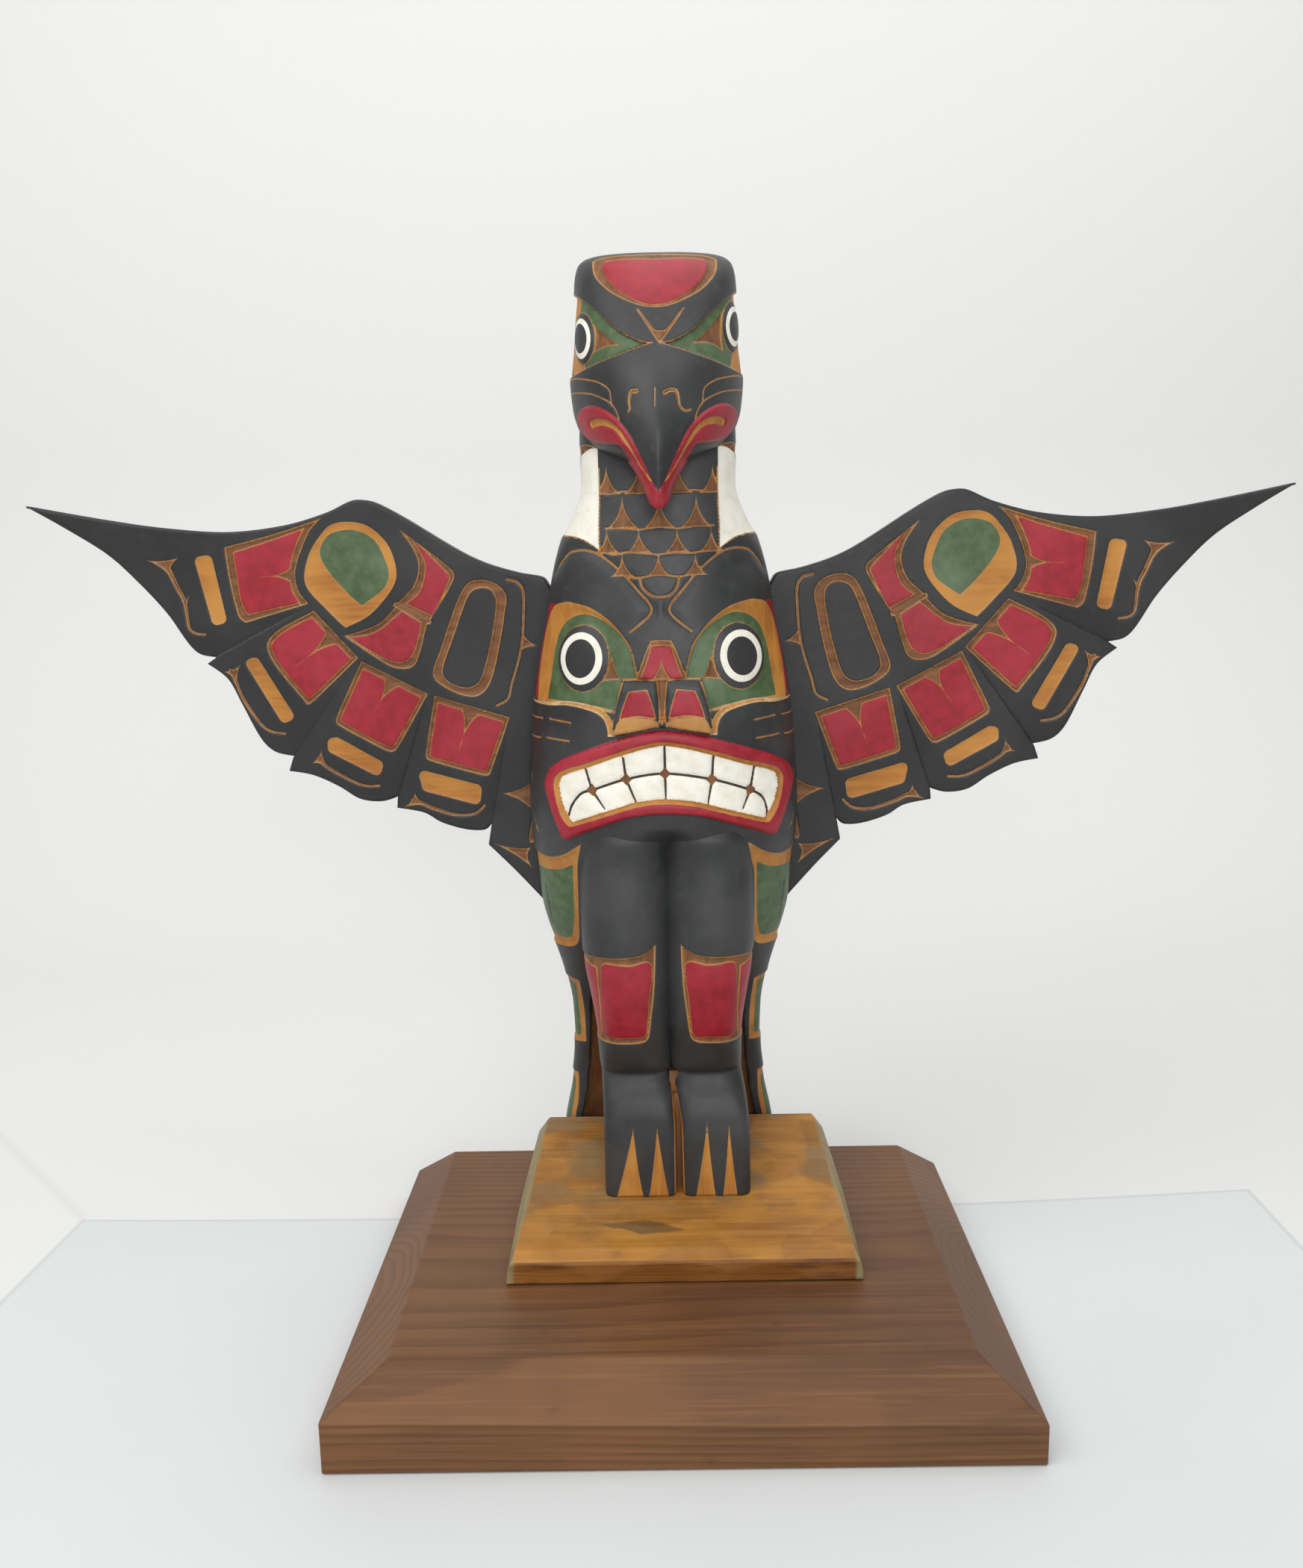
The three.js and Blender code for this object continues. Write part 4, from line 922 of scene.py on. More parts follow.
OVOID = [(170.8, 403.8), (164.2, 409.1), (154.2, 409.8), (145.4, 406.9), (136.9, 397.8), (133.5, 385.1),
         (136.3, 376.1),
         (147.9, 363.5), (161.1, 356.9, 1), (169.6, 365.7), (180, 379), (177.8, 393.1)]
OVOID_GREEN = [(171.8, 393.9), (169.2, 401.1), (163.5, 405), (153.6, 405.7), (144, 400.6), (139.1, 390.6),
               (137.7, 383.4),
               (140.8, 376.1), (152.2, 368.1, 1), (158.2, 373.7), (167.5, 384.8)]
TIP_U = [(219.9, 398.4, 1), (195, 404.4), (170.3, 411.9, 1), (177, 404.8), (184.5, 387.8), (184.3, 376.9),
         (179.4, 369.5, 1),
         (211.9, 360.4, 1), (215.3, 363.8), (218.6, 382)]
TIP_RED = [(215.6, 395.6, 1), (192, 402.6), (170.4, 410.1, 1), (179.6, 402.4), (186.2, 387.9), (185.8, 377.4),
           (181.9, 370.2, 1),
           (196, 367.6), (210.7, 364.6, 1), (213.6, 372)]
TIP_BROW = [(170.4, 411.6), (178.6, 402.6), (184.5, 388), (184.3, 377), (179.6, 369.4)]
TIP_SPLIT = ((205, 383.2), (184.4, 390.5), (184.2, 377.5))
FEATHERS = [([(201.8, 348.8), (176.9, 365.8, 1), (155.6, 341.4, 1), (181.9, 318), (184.5, 319.5)], (188.9, 336.8)),
            ([(153.9, 339.5, 1), (120.8, 322.1, 1), (138, 294.1), (142.7, 292.6), (167.8, 306.9), (168.5, 310.7)],
             (149.9, 312.3)),
            ([(117.2, 321.1, 1), (79.0, 309.2, 1), (90.4, 279.8), (93.2, 278.9), (120.7, 287.1), (123.3, 290)],
             (106, 292.5))]
UPPER = [(131.1, 405.8, 1), (105.1, 384.6), (106.3, 377.3), (118.1, 359.2, 1), (134, 368.7, 1), (125.5, 377),
         (122.2, 386.7), (124.4, 395.8)]
UPPER_RED = [(126.4, 402.2, 1), (107.4, 382.8), (108.2, 378.2), (116.4, 362.2, 1), (129.0, 368.7, 1),
             (122.0, 374.6), (118.6, 386.7), (121.2, 395)]
LOWER = [(135, 366.9, 1), (119, 359.3, 1), (125.5, 339), (131.2, 335.4), (140.2, 337.4), (162.2, 352.7, 1),
         (152, 355.4), (142.8, 359.4)]
LOWER_RED = [(132.0, 364.6, 1), (122.4, 358.6, 1), (126.6, 345), (132.2, 339.0), (141, 340.4), (159.2, 351.8, 1),
             (146, 354.2)]
BARS = [[(235.3, 393.3), (227.4, 394.4), (221.9, 361.1), (228.4, 359.4)], [(213.8, 340.6), (207.8, 342.4),
                                                                           (190.3, 311.1), (196.4, 308.4)],
        [(173.3, 299.3), (169, 300.0), (146.0, 286.4), (148.1, 279.5), (173.6, 293.4)],
        [(127.4, 282.4), (95.3, 273.2), (96.6, 263.6), (125.2, 271.8)]]
RING = [[(96.3, 379), (85.5, 378.8), (78.6, 372.3), (79.6, 362), (83.5, 343), (88.4, 327.2), (95.1, 320.7),
         (104.3, 321.8),
         (114.6, 327.6), (117.4, 333.3), (113, 345), (103, 370)],
        [(94.7, 374.8), (88, 375.6), (84, 371.4), (84.2, 363), (88, 345), (93, 329.6), (98.7, 325.2),
         (106.8, 326.6),
         (111.9, 330.9), (112, 336.4), (107, 349), (98.6, 370)]]
# lines that swell into wedges at their ends: line, widths, wedge corners
TIES = [([(249.6, 388.9), (245.6, 379), (242.4, 371.4), (241.2, 358.6), (238.6, 355.6), (233.3, 354.6)], 2.4, 0.9,
         [((249.0, 384.6), (259.3, 392.5), (243.8, 393.7)), ((243.6, 371.2), (239.6, 374.4), (241.6, 368.4))]),
        ([(221.6, 336.2), (219.6, 331), (216.0, 321), (208.4, 308.6), (203.2, 304.2), (195.8, 302.7)], 1.6, 1.0,
         [((218.6, 330), (224.9, 335.4), (216.4, 338.8))]),
        ([(179.4, 289.6), (176.4, 286), (171.2, 282.2), (160.6, 276.2), (155, 274.4), (148.4, 274.3)], 1.6, 0.9,
         [((175, 285), (182.6, 287.0), (177.4, 293.6))]),
        ([(131.4, 266.4), (127, 265), (121.9, 262.4), (111, 258.6), (102.6, 258), (97.6, 259.4), (93.9, 262.8)],
         1.8, 1.0,
         [((124.6, 263.6), (136, 262.6), (129.8, 270.0))]),
        ([(77.6, 379.8), (72.2, 378.2), (69.6, 373), (70.0, 360), (71.0, 349), (73.2, 339), (77.2, 326.5),
          (79.4, 319), (85.2, 315.6)], 1.3, 1.0,
         [((71.0, 352.6), (63.4, 346.0), (72.4, 343.4))]),
        ([(66.0, 299), (66.2, 280), (67.4, 262), (69.8, 244)], 1.3, 2.6,
         [((66.6, 277.0), (84, 269.2), (67.2, 258.6)), ((70.4, 239.8), (89.1, 242.2), (70.2, 229.4))])]


def inset(corners, r):
    """Corners of a convex form moved in by r from both their edges."""
    p = np.array(corners, float)
    e = np.roll(p, -1, 0) - p
    e /= np.linalg.norm(e, axis=1)[:, None]
    n = np.stack([-e[:, 1], e[:, 0]], 1)
    if (n[0] @ (p.mean(0) - p[0])) < 0:
        n = -n
    a, b = np.roll(n, 1, 0), n
    return p + (a + b) * r / (1 + (a * b).sum(1))[:, None]


def wing(side):
    """One wing board, carved in front and plain behind; side 1 is the right one."""
    outline = path(WING, True, 1.0)
    keep = [outline[0]]
    for q in outline[1:]:
        if np.linalg.norm(q - keep[-1]) > 0.45:
            keep.append(q)
    outline = np.array(keep)
    art = Drawing()
    lines, shapes, shape = art.lines, art.shapes, art.add
    lines.append((offset(outline, -0.9), False))
    for a, b, c in np.array(STEPS):
        run = b + (b - a) * 0.02
        n = np.array([-(b - a)[1], (b - a)[0]]) / np.linalg.norm(b - a)
        n *= math.copysign(1, n @ (c - a))
        lines.append((path([tuple(a), tuple(run)], False, 1.0), False))
        lines.append((path([tuple(a + n * 0.45), tuple(run + n * 0.45)], False, 1.0), False))
    for name, ctrl in (("ovoid", OVOID), ("ovoid_green", OVOID_GREEN), ("form", TIP_U), ("tip_red", TIP_RED)):
        shape(name, ctrl)
    shape("tip_split", trigon(*TIP_SPLIT, 0.66, 0.0))
    shapes["tip_brow"] = [path(TIP_BROW, False, 1.0)]
    shape("bridge", [(134.6, 368.0), (118.4, 359.2)], False)
    for name, ctrl in (("form", UPPER), ("red", UPPER_RED), ("form", LOWER), ("red", LOWER_RED)):
        shape(name, ctrl)
    for ctrl, end in FEATHERS:
        a = shape("form", ctrl)[0]
        corners = [np.array(q[:2]) for q in ctrl if len(q) > 2]
        m, w = (corners[0] + corners[1]) / 2, (corners[1] - corners[0]) * 0.2
        shape("wedge", trigon(end, m - w, m + w, 0.66, 0.0))
        shapes.setdefault("brow", []).append(np.array(corners[:2]))
        lines.append((offset(a, -2.5), True))
        shapes.setdefault("inset", []).append(a)
    for ctrl in BARS:
        shape("bar", path([tuple(q) + (1,) for q in inset(ctrl, 2.3)], True, 0.8))
    for name, ctrl in zip(("ring_out", "ring_in"), RING):
        shape(name, ctrl)
    for line, w0, w1, wedges in TIES:
        shape("tie", line, False, 0.8)
        for t in wedges:
            shape("tie_wedge", trigon(*t, 0.34))

    def front(P):
        p = Paint(P)
        near_of = art.distance(P)
        h = np.zeros(len(P))
        for a, b, c in np.array(STEPS):
            m = np.linalg.inv(np.column_stack([b - a, c - a]))
            u = (P - a) @ m.T
            inside = (u[:, 0] > 0) & (u[:, 1] > 0)
            h = np.where(inside, -STEP_D * u[:, 0] * ramp(u[:, 1] * np.linalg.norm(c - a), 0.0, 0.45)
                         * (1 - 0.5 * np.clip(u[:, 1], 0, 1)), h)
        form, red = near_of("form"), near_of("red")
        p.add("wood", band(form, red))
        p.add("red", red)
        for a, w, b in zip(shapes["inset"], shapes["wedge"], shapes["brow"]):
            d, v = sdf(a, P), np.minimum(sdf(w, P), stroke(b, P, 6.6))
            p.add("red", np.maximum(d + 2.3, -v))
        tip = np.minimum(near_of("tip_split"), stroke(shapes["tip_brow"][0], P, 6.4))
        p.add("red", np.maximum(near_of("tip_red"), -tip))
        p.add("wood", stroke(shapes["bridge"][0], P, 2.6))
        h -= 0.5 * ramp(-form, 0, 1.2)
        ov, og = near_of("ovoid", 9), near_of("ovoid_green", 9)
        p.flat(band(ov, og))
        p.add("green", og)
        h = np.where(ov < 0, h - 0.45 * ramp(-ov, 0, 0.8), h)
        bar = near_of("bar") - 2.8
        p.flat(bar)
        h -= 0.55 * ramp(-bar, 0, 0.8)
        p.add("wood", band(near_of("ring_out", 9), near_of("ring_in", 9)))
        for line, (_, w0, w1, _) in zip(shapes["tie"], TIES):
            p.add("wood", stroke(line, P, w0, w1))
        p.add("wood", near_of("tie_wedge"))
        g = p.groove(1.0)
        rim = np.clip(1 + sdf(outline, P, 2.0) / 0.9, 0, 1)
        return WING_FRONT - h + 1.0 * g + 0.55 * rim ** 2, p.attrs(np.clip(g, 0, 1))

    def grid(h):
        lo, hi, out, odd, z = outline.min(0), outline.max(0), [], False, outline[:, 1].min()
        while z < hi[1]:
            xs = np.arange(lo[0] + (0.5 * h if odd else 0), hi[0], h)
            out += [(x, z, h) for x in xs]
            z += h * 0.87
            odd = not odd
        return out
    vf, ff = triangulate(outline, lines, grid(1.02))
    vb, fb = triangulate(outline, [(offset(outline, -1.2), False)], grid(4.2))
    y, paint = front(vf)
    rim = np.clip(1 + sdf(outline, vb, 2.0) / 1.2, 0, 1)
    back = WING_FRONT + WING_T_ROOT + (WING_T_TIP - WING_T_ROOT) * (vb[:,
                                                                       0] - 50) / (WING_SPAN - 50) - 0.7 * rim ** 2
    co = np.vstack([np.column_stack([vf[:, 0], y, vf[:, 1]]), np.column_stack([vb[:, 0], back, vb[:, 1]])])
    n, m = len(vf), len(outline)
    faces = ff + [tuple(n + i for i in t[::-1]) for t in fb]
    faces += [(i, (i + 1) % m, n + (i + 1) % m, n + i) for i in range(m)]
    for key in paint:
        paint[key] = np.concatenate([paint[key], np.full(len(vb), 0.0 if key == "p_deep" else 6.0)])
    co[:, 0] *= side
    return make("wing_right_painted" if side > 0 else "wing_left_painted", co, faces, paint)


# ---------------------------------------------------------------- plinth and board
def lofted(name, rings, bevel):
    co = np.vstack(rings)
    n = len(rings[0])
    faces = [(r * n + i, r * n + (i + 1) % n, (r + 1) * n + (i + 1) % n, (r + 1) * n + i)
             for r in range(len(rings) - 1) for i in range(n)]
    faces += [tuple(range(n))[::-1], tuple((len(rings) - 1) * n + i for i in range(n))]
    ob = make(name, co, faces, smooth=False)
    for f in ob.data.polygons:
        f.use_smooth = True
    mod = ob.modifiers.new("arris", "BEVEL")
    mod.width, mod.segments, mod.limit_method, mod.angle_limit = bevel * MM, 3, "ANGLE", math.radians(14)
    mod.harden_normals = True
    return ob


def plinth():
    rings = []
    at = curve([[r[0]] + r[1:] for r in PLINTH])
    for y in np.concatenate([[r[0] for r in PLINTH[:2]], np.linspace(-26, PLINTH[-1][0], 19)]):
        zt, hs, ht = at(y)[0]
        drop = min(PLINTH_DROP, zt - PLINTH_FOOT - 5)
        pts = [(-PLINTH_HALF, PLINTH_FOOT), (-hs, zt - drop), (-ht, zt), (ht, zt), (hs, zt - drop),
               (PLINTH_HALF, PLINTH_FOOT)]
        rings.append(np.array([(x + PLINTH_X, y, z) for x, z in pts]))
    return lofted("plinth", rings, 1.0)


def board():
    x0, x1, y0, y1 = BOARD_X - BOARD_W / 2, BOARD_X + BOARD_W / 2, -BOARD_D / 2, BOARD_D / 2
    foot = [(x0, y0, 0), (x1, y0, 0), (x1, y1, 0), (x0, y1, 0)]
    edge = [(x0, y0, EDGE_FL), (x1, y0, EDGE_FR), (x1, y1, EDGE_BACK), (x0, y1, EDGE_BACK)]
    top = [(x0 + BEVEL_SIDE, y0 + BEVEL_FRONT, BOARD_T), (x1 - BEVEL_SIDE, y0 + BEVEL_FRONT, BOARD_T),
           (x1 - BEVEL_SIDE, y1 - BEVEL_BACK, BOARD_T), (x0 + BEVEL_SIDE, y1 - BEVEL_BACK, BOARD_T)]
    return lofted("base_board_stained", [np.array(r, float) for r in (foot, edge, top)], 0.9)


# ---------------------------------------------------------------- materials
class Nodes:
    def __init__(self, name):
        self.mat = bpy.data.materials.new(name)
        self.mat.use_nodes = True
        self.tree = self.mat.node_tree
        self.tree.nodes.clear()
        self.out = self.tree.nodes.new("ShaderNodeOutputMaterial")

    def new(self, kind, inputs=None, **props):
        n = self.tree.nodes.new("ShaderNode" + kind)
        for k, v in props.items():
            setattr(n, k, v)
        for k, v in (inputs or {}).items():
            self.put(n.inputs[k], v)
        return n

    def put(self, socket, v):
        if isinstance(v, bpy.types.NodeSocket):
            self.tree.links.new(v, socket)
        elif isinstance(v, tuple) and len(v) == 3 and socket.type == "RGBA":
            socket.default_value = v + (1.0,)
        else:
            socket.default_value = v

    def math(self, op, a, b=0.0, c=None):
        ins = {0: a, 1: b}
        if c is not None:
            ins[2] = c
        return self.new("Math", ins, operation=op).outputs[0]

    def mul(self, a, b):
        return self.math("MULTIPLY", a, b)

    def add(self, a, b):
        return self.math("ADD", a, b)

    def sub(self, a, b):
        return self.math("SUBTRACT", a, b)

    def fma(self, a, b, c):
        return self.math("MULTIPLY_ADD", a, b, c)

    def facets(self, sx, sy, sz, soft):
        """Rounded cells like the flats that a knife leaves."""
        ins = {"Vector": self.coords(sx, sy, sz), "Scale": 1.0, "Smoothness": soft}
        return self.new("TexVoronoi", ins, feature="SMOOTH_F1").outputs[0]

    def sway(self, v, size):
        """A noise value about its middle, times size."""
        return self.mul(self.sub(v, 0.5), size)

    def mix(self, fac, a, b):
        return self.new("Mix", {0: fac, 6: a, 7: b}, data_type="RGBA").outputs[2]

    def tint(self, colour, mask, most, other):
        """Colour that goes over to another one by up to most where the mask is 1."""
        return self.mix(self.mul(mask, most), colour, other)

    def bump(self, height, strength, distance, normal=None):
        ins = {"Strength": strength, "Distance": distance, "Height": height}
        if normal is not None:
            ins["Normal"] = normal
        return self.new("Bump", ins).outputs[0]

    def span(self, v, a, b, lo=0.0, hi=1.0, smooth=True):
        n = self.new("MapRange", {0: v, 1: a, 2: b, 3: lo, 4: hi}, clamp=True)
        n.interpolation_type = "SMOOTHSTEP" if smooth else "LINEAR"
        return n.outputs[0]

    def coords(self, sx=1.0, sy=1.0, sz=1.0):
        if not hasattr(self, "_co"):
            self._co = self.new("TexCoord").outputs["Object"]
        return self.new("Mapping", {"Vector": self._co, "Scale": (sx, sy, sz)}).outputs[0]

    def noise(self, co, scale, detail=3.0, rough=0.5, warp=0.0):
        return self.new("TexNoise", {"Vector": co, "Scale": scale, "Detail": detail, "Roughness": rough,
                                     "Distortion": warp}).outputs[0]

    def attr(self, name):
        return self.new("Attribute", attribute_name=name).outputs["Fac"]

    def finish(self, colour, rough, normal, specular):
        b = self.new("BsdfPrincipled", {"Base Color": colour, "Roughness": rough, "Normal": normal})
        b.inputs["Specular IOR Level"].default_value = specular
        self.tree.links.new(b.outputs[0], self.out.inputs[0])
        return self.mat


def lin(r, g, b):
    """sRGB bytes to linear."""
    return tuple(((c / 255 + 0.055) / 1.055) ** 2.4 if c > 10 else c / 255 / 12.92 for c in (r, g, b))


def painted(name, along, dark=1.0):
    """Carved wood under thin satin paint; the cuts show stained wood, darker with depth as painted shade and pale
    along their edges as painted highlight with wear.
    """
    n = Nodes(name)
    fine = n.noise(n.coords(), 900, 2.0)
    mid = n.noise(n.coords(), 160, 4.0, 0.6)
    broad = n.noise(n.coords(), 26, 3.0, 0.5)
    sx, sy, sz = (30, 260, 260) if along == "x" else (260, 260, 30)
    grain = n.noise(n.coords(sx, sy, sz), 1.0, 4.0, 0.6, 0.4)
    wave = n.add(n.sway(mid, 0.9), n.sway(fine, 0.5))

    def mask(key, soft=0.13, shift=0.0):
        d = n.add(n.attr(key), n.mul(wave, 0.32))
        return n.span(n.add(d, shift), soft, -soft)
    wood, red, green, white, ink = (mask(k) for k in ("p_wood", "p_red", "p_green", "p_white", "p_ink"))
    deep = n.attr("p_deep")
    # paints
    # black: lighter on the figure than on the wings (dark 0.72 there); the figure's lighter black is a painted
    # sheen
    tone = lambda *c: lin(*(v * dark for v in c))
    black = n.mix(n.span(broad, 0.35, 0.7), tone(40, 41, 42), tone(56, 57, 57))
    black = n.tint(black, n.span(mid, 0.52, 0.75), 0.4, tone(66, 67, 68))
    red_c = n.mix(n.span(mid, 0.3, 0.7), lin(132, 12, 28), lin(154, 24, 42))
    red_c = n.tint(red_c, n.span(broad, 0.4, 0.75), 0.4, lin(178, 58, 74))
    green_c = n.mix(n.span(mid, 0.3, 0.72), lin(56, 77, 44), lin(78, 100, 65))
    green_c = n.tint(green_c, n.span(broad, 0.45, 0.75), 0.45, lin(108, 128, 102))
    white_c = n.mix(n.span(mid, 0.35, 0.8), lin(232, 230, 219), lin(218, 213, 197))
    # stained wood: ochre on flats, red-brown deep in cuts, gaps and hollows, a painted shade over the stain; pale
    # where rubbed, a painted highlight along cut edges
    ochre = n.mix(n.span(grain, 0.3, 0.7), lin(176, 118, 44), lin(150, 92, 32))
    ochre = n.mix(n.span(broad, 0.35, 0.72), ochre, lin(186, 130, 58))
    cut = n.mix(n.span(grain, 0.3, 0.7), lin(128, 84, 48), lin(96, 60, 34))
    wood_c = n.mix(n.span(n.add(deep, n.sway(mid, 0.4)), 0.15, 0.8), ochre, cut)
    # painted highlight, with rubbed wear: a pale rim just inside the cut edges
    edge = n.span(n.attr("p_wood"), -0.75, -0.05)
    pale = n.mul(edge, n.span(mid, 0.38, 0.6))
    wood_c = n.tint(wood_c, pale, 0.42, lin(176, 146, 110))
    wood_c = n.mix(n.span(deep, -0.1, -1.0), wood_c, lin(206, 186, 146))
    col = black
    for m, c in ((wood, wood_c), (red, red_c), (green, green_c), (white, white_c), (ink, lin(44, 43, 44))):
        col = n.mix(m, col, c)
    # painted highlight along paint edges at the cuts, together with hand-rubbed dust
    rim_highlight_and_dust = n.mul(n.span(n.attr("p_wood"), 0.9, 0.05), n.span(mid, 0.5, 0.68))
    rim_highlight_and_dust = n.mul(rim_highlight_and_dust, n.sub(1.0, wood))
    col = n.tint(col, rim_highlight_and_dust, 0.3, lin(120, 96, 72))
    rough = n.add(0.38, n.mul(mid, 0.2))
    rough = n.add(rough, n.mul(wood, 0.12))
    height = n.add(n.mul(grain, 0.5), n.mul(mid, 0.4))
    knife = n.facets(*((60, 130, 130) if along == "x" else (130, 130, 60)), 0.6)
    height = n.add(height, n.mul(knife, 0.55))
    bump = n.bump(height, 0.35, 0.00035)
    bump = n.bump(fine, 0.18, 0.00015, bump)
    return n.finish(col, rough, bump, specular=0.42)


def rings(n, cy, cz, pitch, warp):
    """Growth rings round a pith that runs along x."""
    slow = n.noise(n.coords(2.2, 9, 9), 1.0, 3.0, 0.5)
    sep = n.new("SeparateXYZ", {0: n.coords()})
    dy = n.sub(sep.outputs[1], cy)
    dz = n.sub(sep.outputs[2], cz)
    r = n.math("SQRT", n.add(n.mul(dy, dy), n.mul(dz, dz)))
    r = n.add(r, n.mul(slow, warp))
    t = n.math("FRACT", n.mul(r, 1 / pitch))
    return n.mul(n.span(t, 0.25, 0.88), n.span(t, 1.0, 0.9))


def board_wood():
    n = Nodes("stained_board")
    ring = rings(n, -0.03, -0.11, 0.0034, 0.016)
    fibre = n.noise(n.coords(9, 420, 420), 1.0, 3.0, 0.6, 0.3)
    mid = n.noise(n.coords(), 60, 4.0, 0.6)
    broad = n.noise(n.coords(), 11, 3.0, 0.5)
    col = n.mix(n.span(broad, 0.3, 0.7), lin(116, 78, 46), lin(96, 63, 38))
    col = n.tint(col, ring, 0.42, lin(70, 43, 28))
    col = n.tint(col, n.span(fibre, 0.45, 0.75), 0.4, lin(134, 96, 60))
    col = n.tint(col, n.span(mid, 0.6, 0.8), 0.35, lin(58, 40, 30))
    rough = n.add(0.36, n.mul(fibre, 0.25))
    height = n.add(n.mul(ring, -0.4), n.mul(fibre, 0.5))
    bump = n.bump(height, 0.3, 0.0003)
    return n.finish(col, rough, bump, specular=0.3)


def plinth_wood():
    n = Nodes("stained_plinth")
    fibre = n.noise(n.coords(14, 300, 300), 1.0, 4.0, 0.6, 0.5)
    mid = n.noise(n.coords(), 45, 4.0, 0.6)
    broad = n.noise(n.coords(), 16, 3.0, 0.55, 0.6)
    col = n.mix(n.span(broad, 0.35, 0.65), lin(174, 119, 45), lin(142, 92, 36))
    col = n.tint(col, n.span(mid, 0.5, 0.72), 0.5, lin(116, 80, 46))
    col = n.tint(col, n.span(fibre, 0.42, 0.7), 0.4, lin(188, 140, 70))
    knife = n.facets(34, 62, 62, 0.25)
    # painted shading: the side bevels greyer and darker; the upper back with greyer, darker patches
    sep = n.new("SeparateXYZ", {0: n.coords()})
    away = n.math("ABSOLUTE", n.sub(sep.outputs[0], PLINTH_X * MM))
    edge = n.sub(away, n.span(sep.outputs[1], -0.04, 0.062, 0.0845, 0.0745, False))
    side = n.span(n.add(edge, n.sway(mid, 0.004)), -0.0012, 0.0012)
    patch = n.noise(n.coords(22, 30, 30), 1.0, 3.0, 0.5)
    back = n.mul(n.span(sep.outputs[1], -0.02, 0.02), n.span(patch, 0.45, 0.53))
    col = n.tint(col, back, 0.7, lin(122, 104, 76))
    cell = n.new("TexVoronoi", {"Vector": n.coords(33, 64, 64), "Scale": 1.0}).outputs["Color"]
    col = n.tint(col, n.new("SeparateColor", {0: cell}).outputs[0], 0.42, lin(112, 76, 40))
    # a flat dark mark left of the middle
    u = n.add(n.mul(n.add(sep.outputs[0], 0.0135), 52), n.sway(mid, 1.4))
    v = n.add(n.mul(n.add(sep.outputs[1], 0.0195), 185), n.mul(u, 0.45))
    mark = n.span(n.add(n.math("ABSOLUTE", u), n.math("ABSOLUTE", v)), 1.15, 0.85)
    col = n.tint(col, mark, 0.85, lin(104, 78, 48))
    streak = n.noise(n.coords(26, 190, 190), 1.0, 4.0, 0.6)
    # painted shade: the front facet darker orange, with darker streaks on it
    front = n.span(sep.outputs[1], -0.0388, -0.0394)
    col = n.tint(col, front, 0.85, lin(122, 74, 28))
    col = n.tint(col, n.mul(front, n.span(streak, 0.46, 0.66)), 0.7, lin(78, 48, 26))
    # painted shading on the side bevels: greyer
    col = n.tint(col, side, 0.85, lin(138, 128, 92))
    rough = n.add(0.38, n.mul(mid, 0.25))
    height = n.add(n.mul(knife, 1.4), n.mul(fibre, 0.3))
    bump = n.bump(height, 0.8, 0.0026)
    return n.finish(col, rough, bump, specular=0.3)


# seams in the backdrop's tone, metres: the table's far edge, its two ends, the corner of the walls
EDGE_Y, EDGE_SLOPE, EDGE_BOW = 0.0987, 0.0239, 0.0852
LEFT_X, LEFT_SLOPE, RIGHT_X, RIGHT_SLOPE = 0.3635, 0.088, 0.3559, 0.022
WALLS_X, WALLS_Y, WALLS_AT = 0.732, 0.681, 0.1897


def table_top():
    """Tones of the whole backdrop: pale table, paler wall painted lighter upwards as painted light, thin lines of
    painted shade where they meet.
    """
    n = Nodes("table_top")
    soft = n.noise(n.coords(), 3.0, 3.0, 0.5)
    fine = n.noise(n.coords(), 260, 2.0)
    table = n.mix(n.span(soft, 0.3, 0.7), lin(212, 215, 216), lin(207, 210, 211))
    sep = n.new("SeparateXYZ", {0: n.coords()})
    x, y = sep.outputs[0], sep.outputs[1]
    # painted light: the wall lighter towards the back and top
    wall = n.mix(n.span(n.add(y, sep.outputs[2]), 0.2, 1.9, smooth=False), lin(219, 219, 219), lin(231, 231, 230))
    # the table's far edge, its ends, and the corner of the walls
    far = n.sub(y, n.fma(x, n.fma(x, EDGE_BOW, EDGE_SLOPE), EDGE_Y))
    left = n.sub(n.mul(y, LEFT_SLOPE), n.add(x, LEFT_X))
    right = n.sub(n.fma(y, RIGHT_SLOPE, x), RIGHT_X)
    past = n.math("MAXIMUM", far, n.math("MAXIMUM", left, right))
    corner = n.fma(x, WALLS_X, n.fma(y, WALLS_Y, WALLS_AT))
    col = n.mix(n.span(past, -0.0006, 0.0006), table, wall)
    # painted shade: a thin darker line along the seams, and in the corner of the walls
    col = n.tint(col, n.span(n.math("ABSOLUTE", past), 0.0022, 0.0), 0.5, lin(176, 184, 184))
    corner_shade = n.mul(n.span(n.math("ABSOLUTE", corner), 0.006, 0.0), n.span(left, 0.0, 0.002))
    col = n.tint(col, corner_shade, 0.3, lin(200, 198, 192))
    rough = n.add(0.6, n.mul(fine, 0.2))
    bump = n.bump(fine, 0.1, 0.0002)
    return n.finish(col, rough, bump, specular=0.3)


# ---------------------------------------------------------------- assembly
def dress(ob, mat, slot, *nodes):
    ob.data.materials.clear()
    ob.data.materials.append(mat)
    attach(ob, "root")
    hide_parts(*nodes)
    return ob


# the wings get a darker black; the figure's lighter black stands in for its sheen, a painted sheen
paint_z, paint_x = painted("painted_figure", "z"), painted("painted_wings", "x", 0.72)
for piece in (torso(), head(), legs()):
    dress(piece, paint_z, "painted_figure", "carved_figure")
dress(wing(1), paint_x, "painted_wings", "wing_right")
dress(wing(-1), paint_x, "painted_wings", "wing_left")
dress(plinth(), plinth_wood(), "stained_plinth", "plinth_block")
dress(board(), board_wood(), "stained_board", "base_board")

# ---------------------------------------------------------------- stage, light, camera
SWEEP_FRONT, SWEEP_FOLD, SWEEP_R, SWEEP_TOP, SWEEP_HALF = -1.6, 0.55, 0.5, 2.4, 2.4


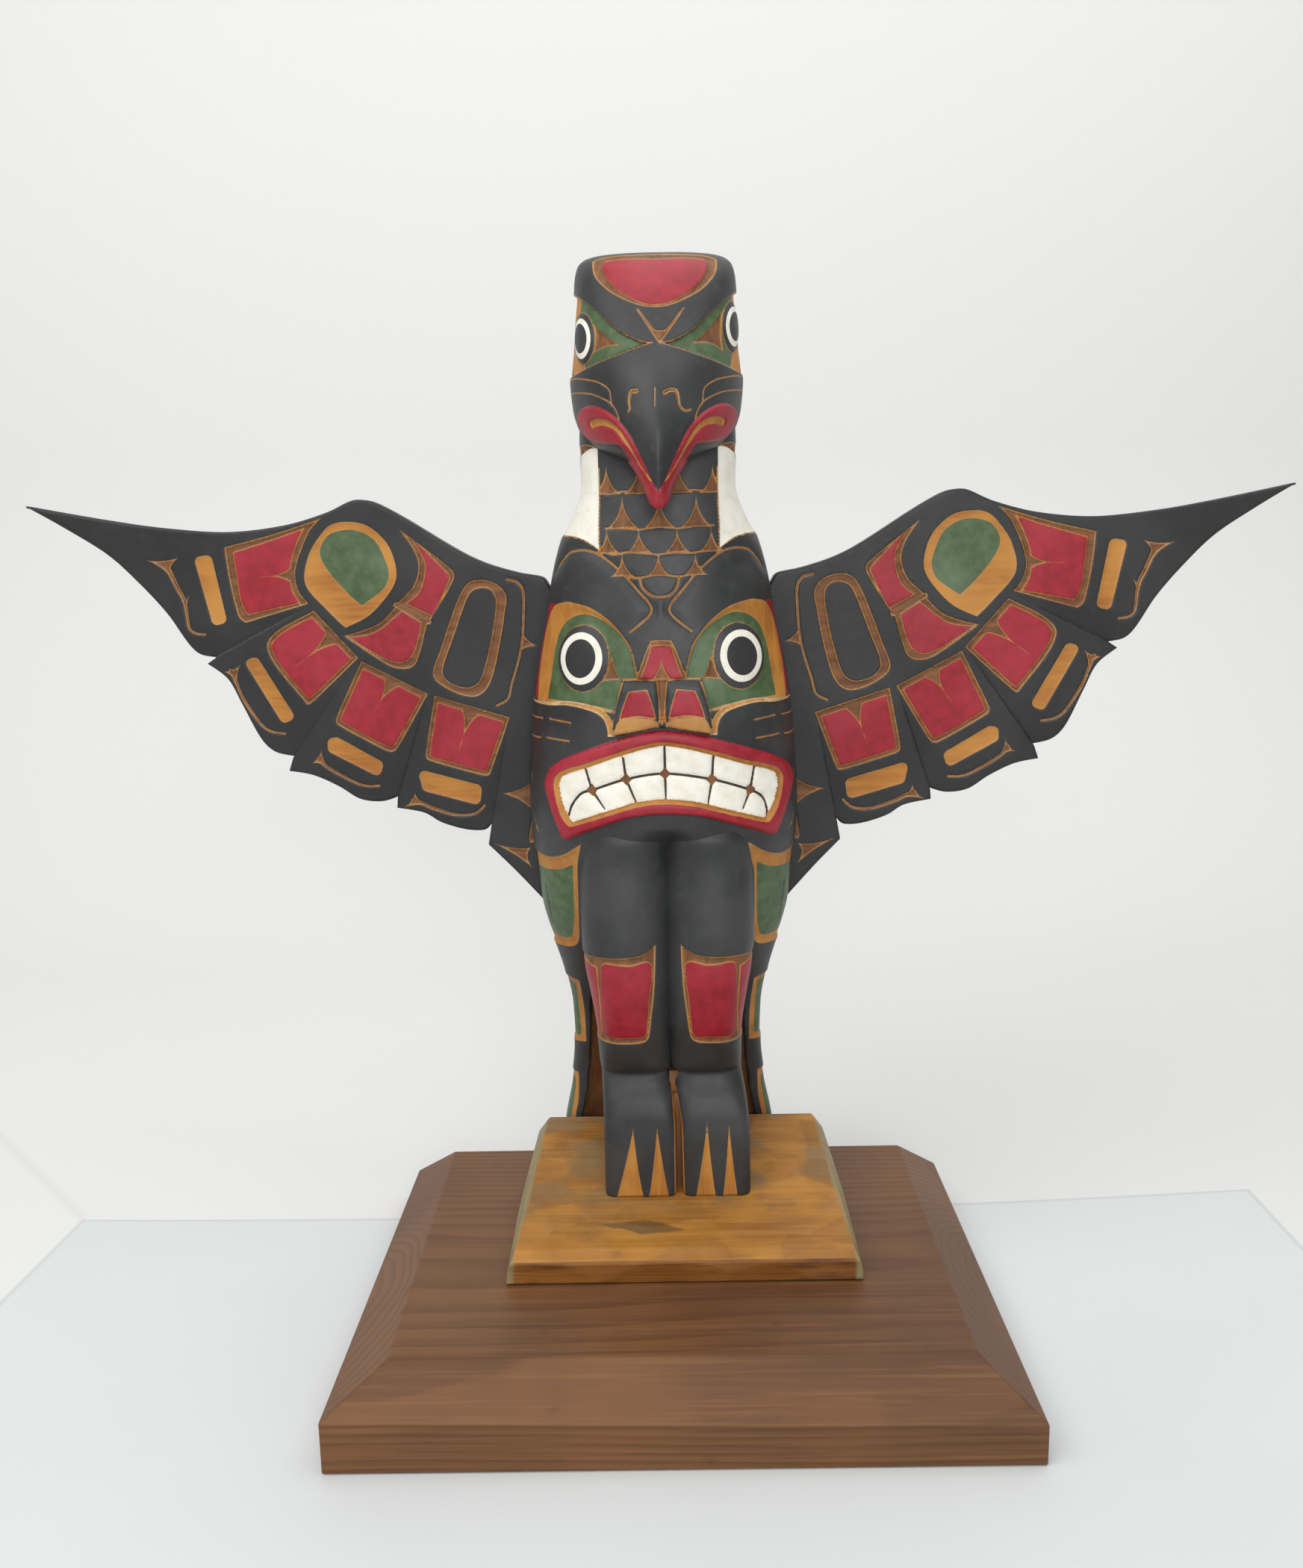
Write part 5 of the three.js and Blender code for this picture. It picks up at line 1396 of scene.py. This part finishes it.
def backdrop():
    """One smooth sweep from table to wall, in metres."""
    prof = [(SWEEP_FRONT, 0.0), (SWEEP_FOLD, 0.0)]
    prof += [(SWEEP_FOLD + SWEEP_R * math.sin(t), SWEEP_R - SWEEP_R * math.cos(t))
             for t in np.linspace(0, math.pi / 2, 14)[1:]]
    prof += [(SWEEP_FOLD + SWEEP_R, SWEEP_TOP)]
    verts = [(x, y, z) for y, z in prof for x in (-SWEEP_HALF, SWEEP_HALF)]
    faces = [(2 * i, 2 * i + 1, 2 * i + 3, 2 * i + 2) for i in range(len(prof) - 1)]
    mesh = bpy.data.meshes.new("floor")
    mesh.from_pydata(verts, [], faces)
    for f in mesh.polygons:
        f.use_smooth = True
    ob = bpy.data.objects.new("floor", mesh)
    ob.location.z = -0.0004
    bpy.context.scene.collection.objects.link(ob)
    ob.data.materials.append(table_top())
    return ob


backdrop()


def lamp(name, at, aim, size, power, colour):
    data = bpy.data.lights.new(name, "AREA")
    data.shape, data.size, data.size_y = "RECTANGLE", size[0], size[1]
    data.energy, data.color = power, colour
    ob = bpy.data.objects.new(name, data)
    ob.location = at
    ob.rotation_euler = (Vector(aim) - Vector(at)).to_track_quat("-Z", "Y").to_euler()
    bpy.context.scene.collection.objects.link(ob)
    return ob


LAMPS = [
    ("window", (-1.0, -0.9, 1.7), (0, 0, 0.25), (1.6, 1.2), 19.5, (1.0, 0.99, 0.97)),
    ("ceiling", (0.4, 0.1, 2.1), (0, 0.2, 0.2), (1.9, 1.9), 19, (1.0, 1.0, 0.99)),
    ("front", (0.15, -1.7, 0.8), (0, 0, 0.28), (0.8, 0.6), 13, (1.0, 1.0, 0.99))]
for spec in LAMPS:
    lamp(*spec)
world = bpy.data.worlds.new("room")
bpy.context.scene.world = world
world.use_nodes = True
background = world.node_tree.nodes["Background"]
background.inputs[0].default_value = (0.89, 0.89, 0.89, 1)
background.inputs[1].default_value = 0.42

# the photograph's camera: turn, tilt and roll in radians, place in metres, lens for a 36 mm sensor
YAW, PITCH, ROLL = 0.0085, 0.189, 0.0185
CAM_AT, LENS = (-0.0003, -0.645, 0.4047), 30.86
f = Vector((-math.sin(YAW) * math.cos(PITCH), math.cos(YAW) * math.cos(PITCH), -math.sin(PITCH)))
r = Vector((math.cos(YAW), math.sin(YAW), 0))
d = f.cross(r)
right = math.cos(ROLL) * r + math.sin(ROLL) * d
down = -math.sin(ROLL) * r + math.cos(ROLL) * d
cam = bpy.data.cameras.new("camera")
cam.lens, cam.sensor_width, cam.sensor_fit = LENS, 36.0, "AUTO"
cam.clip_start = 0.02
cam_ob = bpy.data.objects.new("camera", cam)
cam_ob.matrix_world = Matrix.Translation(CAM_AT) @ Matrix((right, -down, -f)).transposed().to_4x4()
bpy.context.scene.collection.objects.link(cam_ob)
bpy.context.scene.camera = cam_ob
bpy.context.scene.view_settings.view_transform = "Standard"
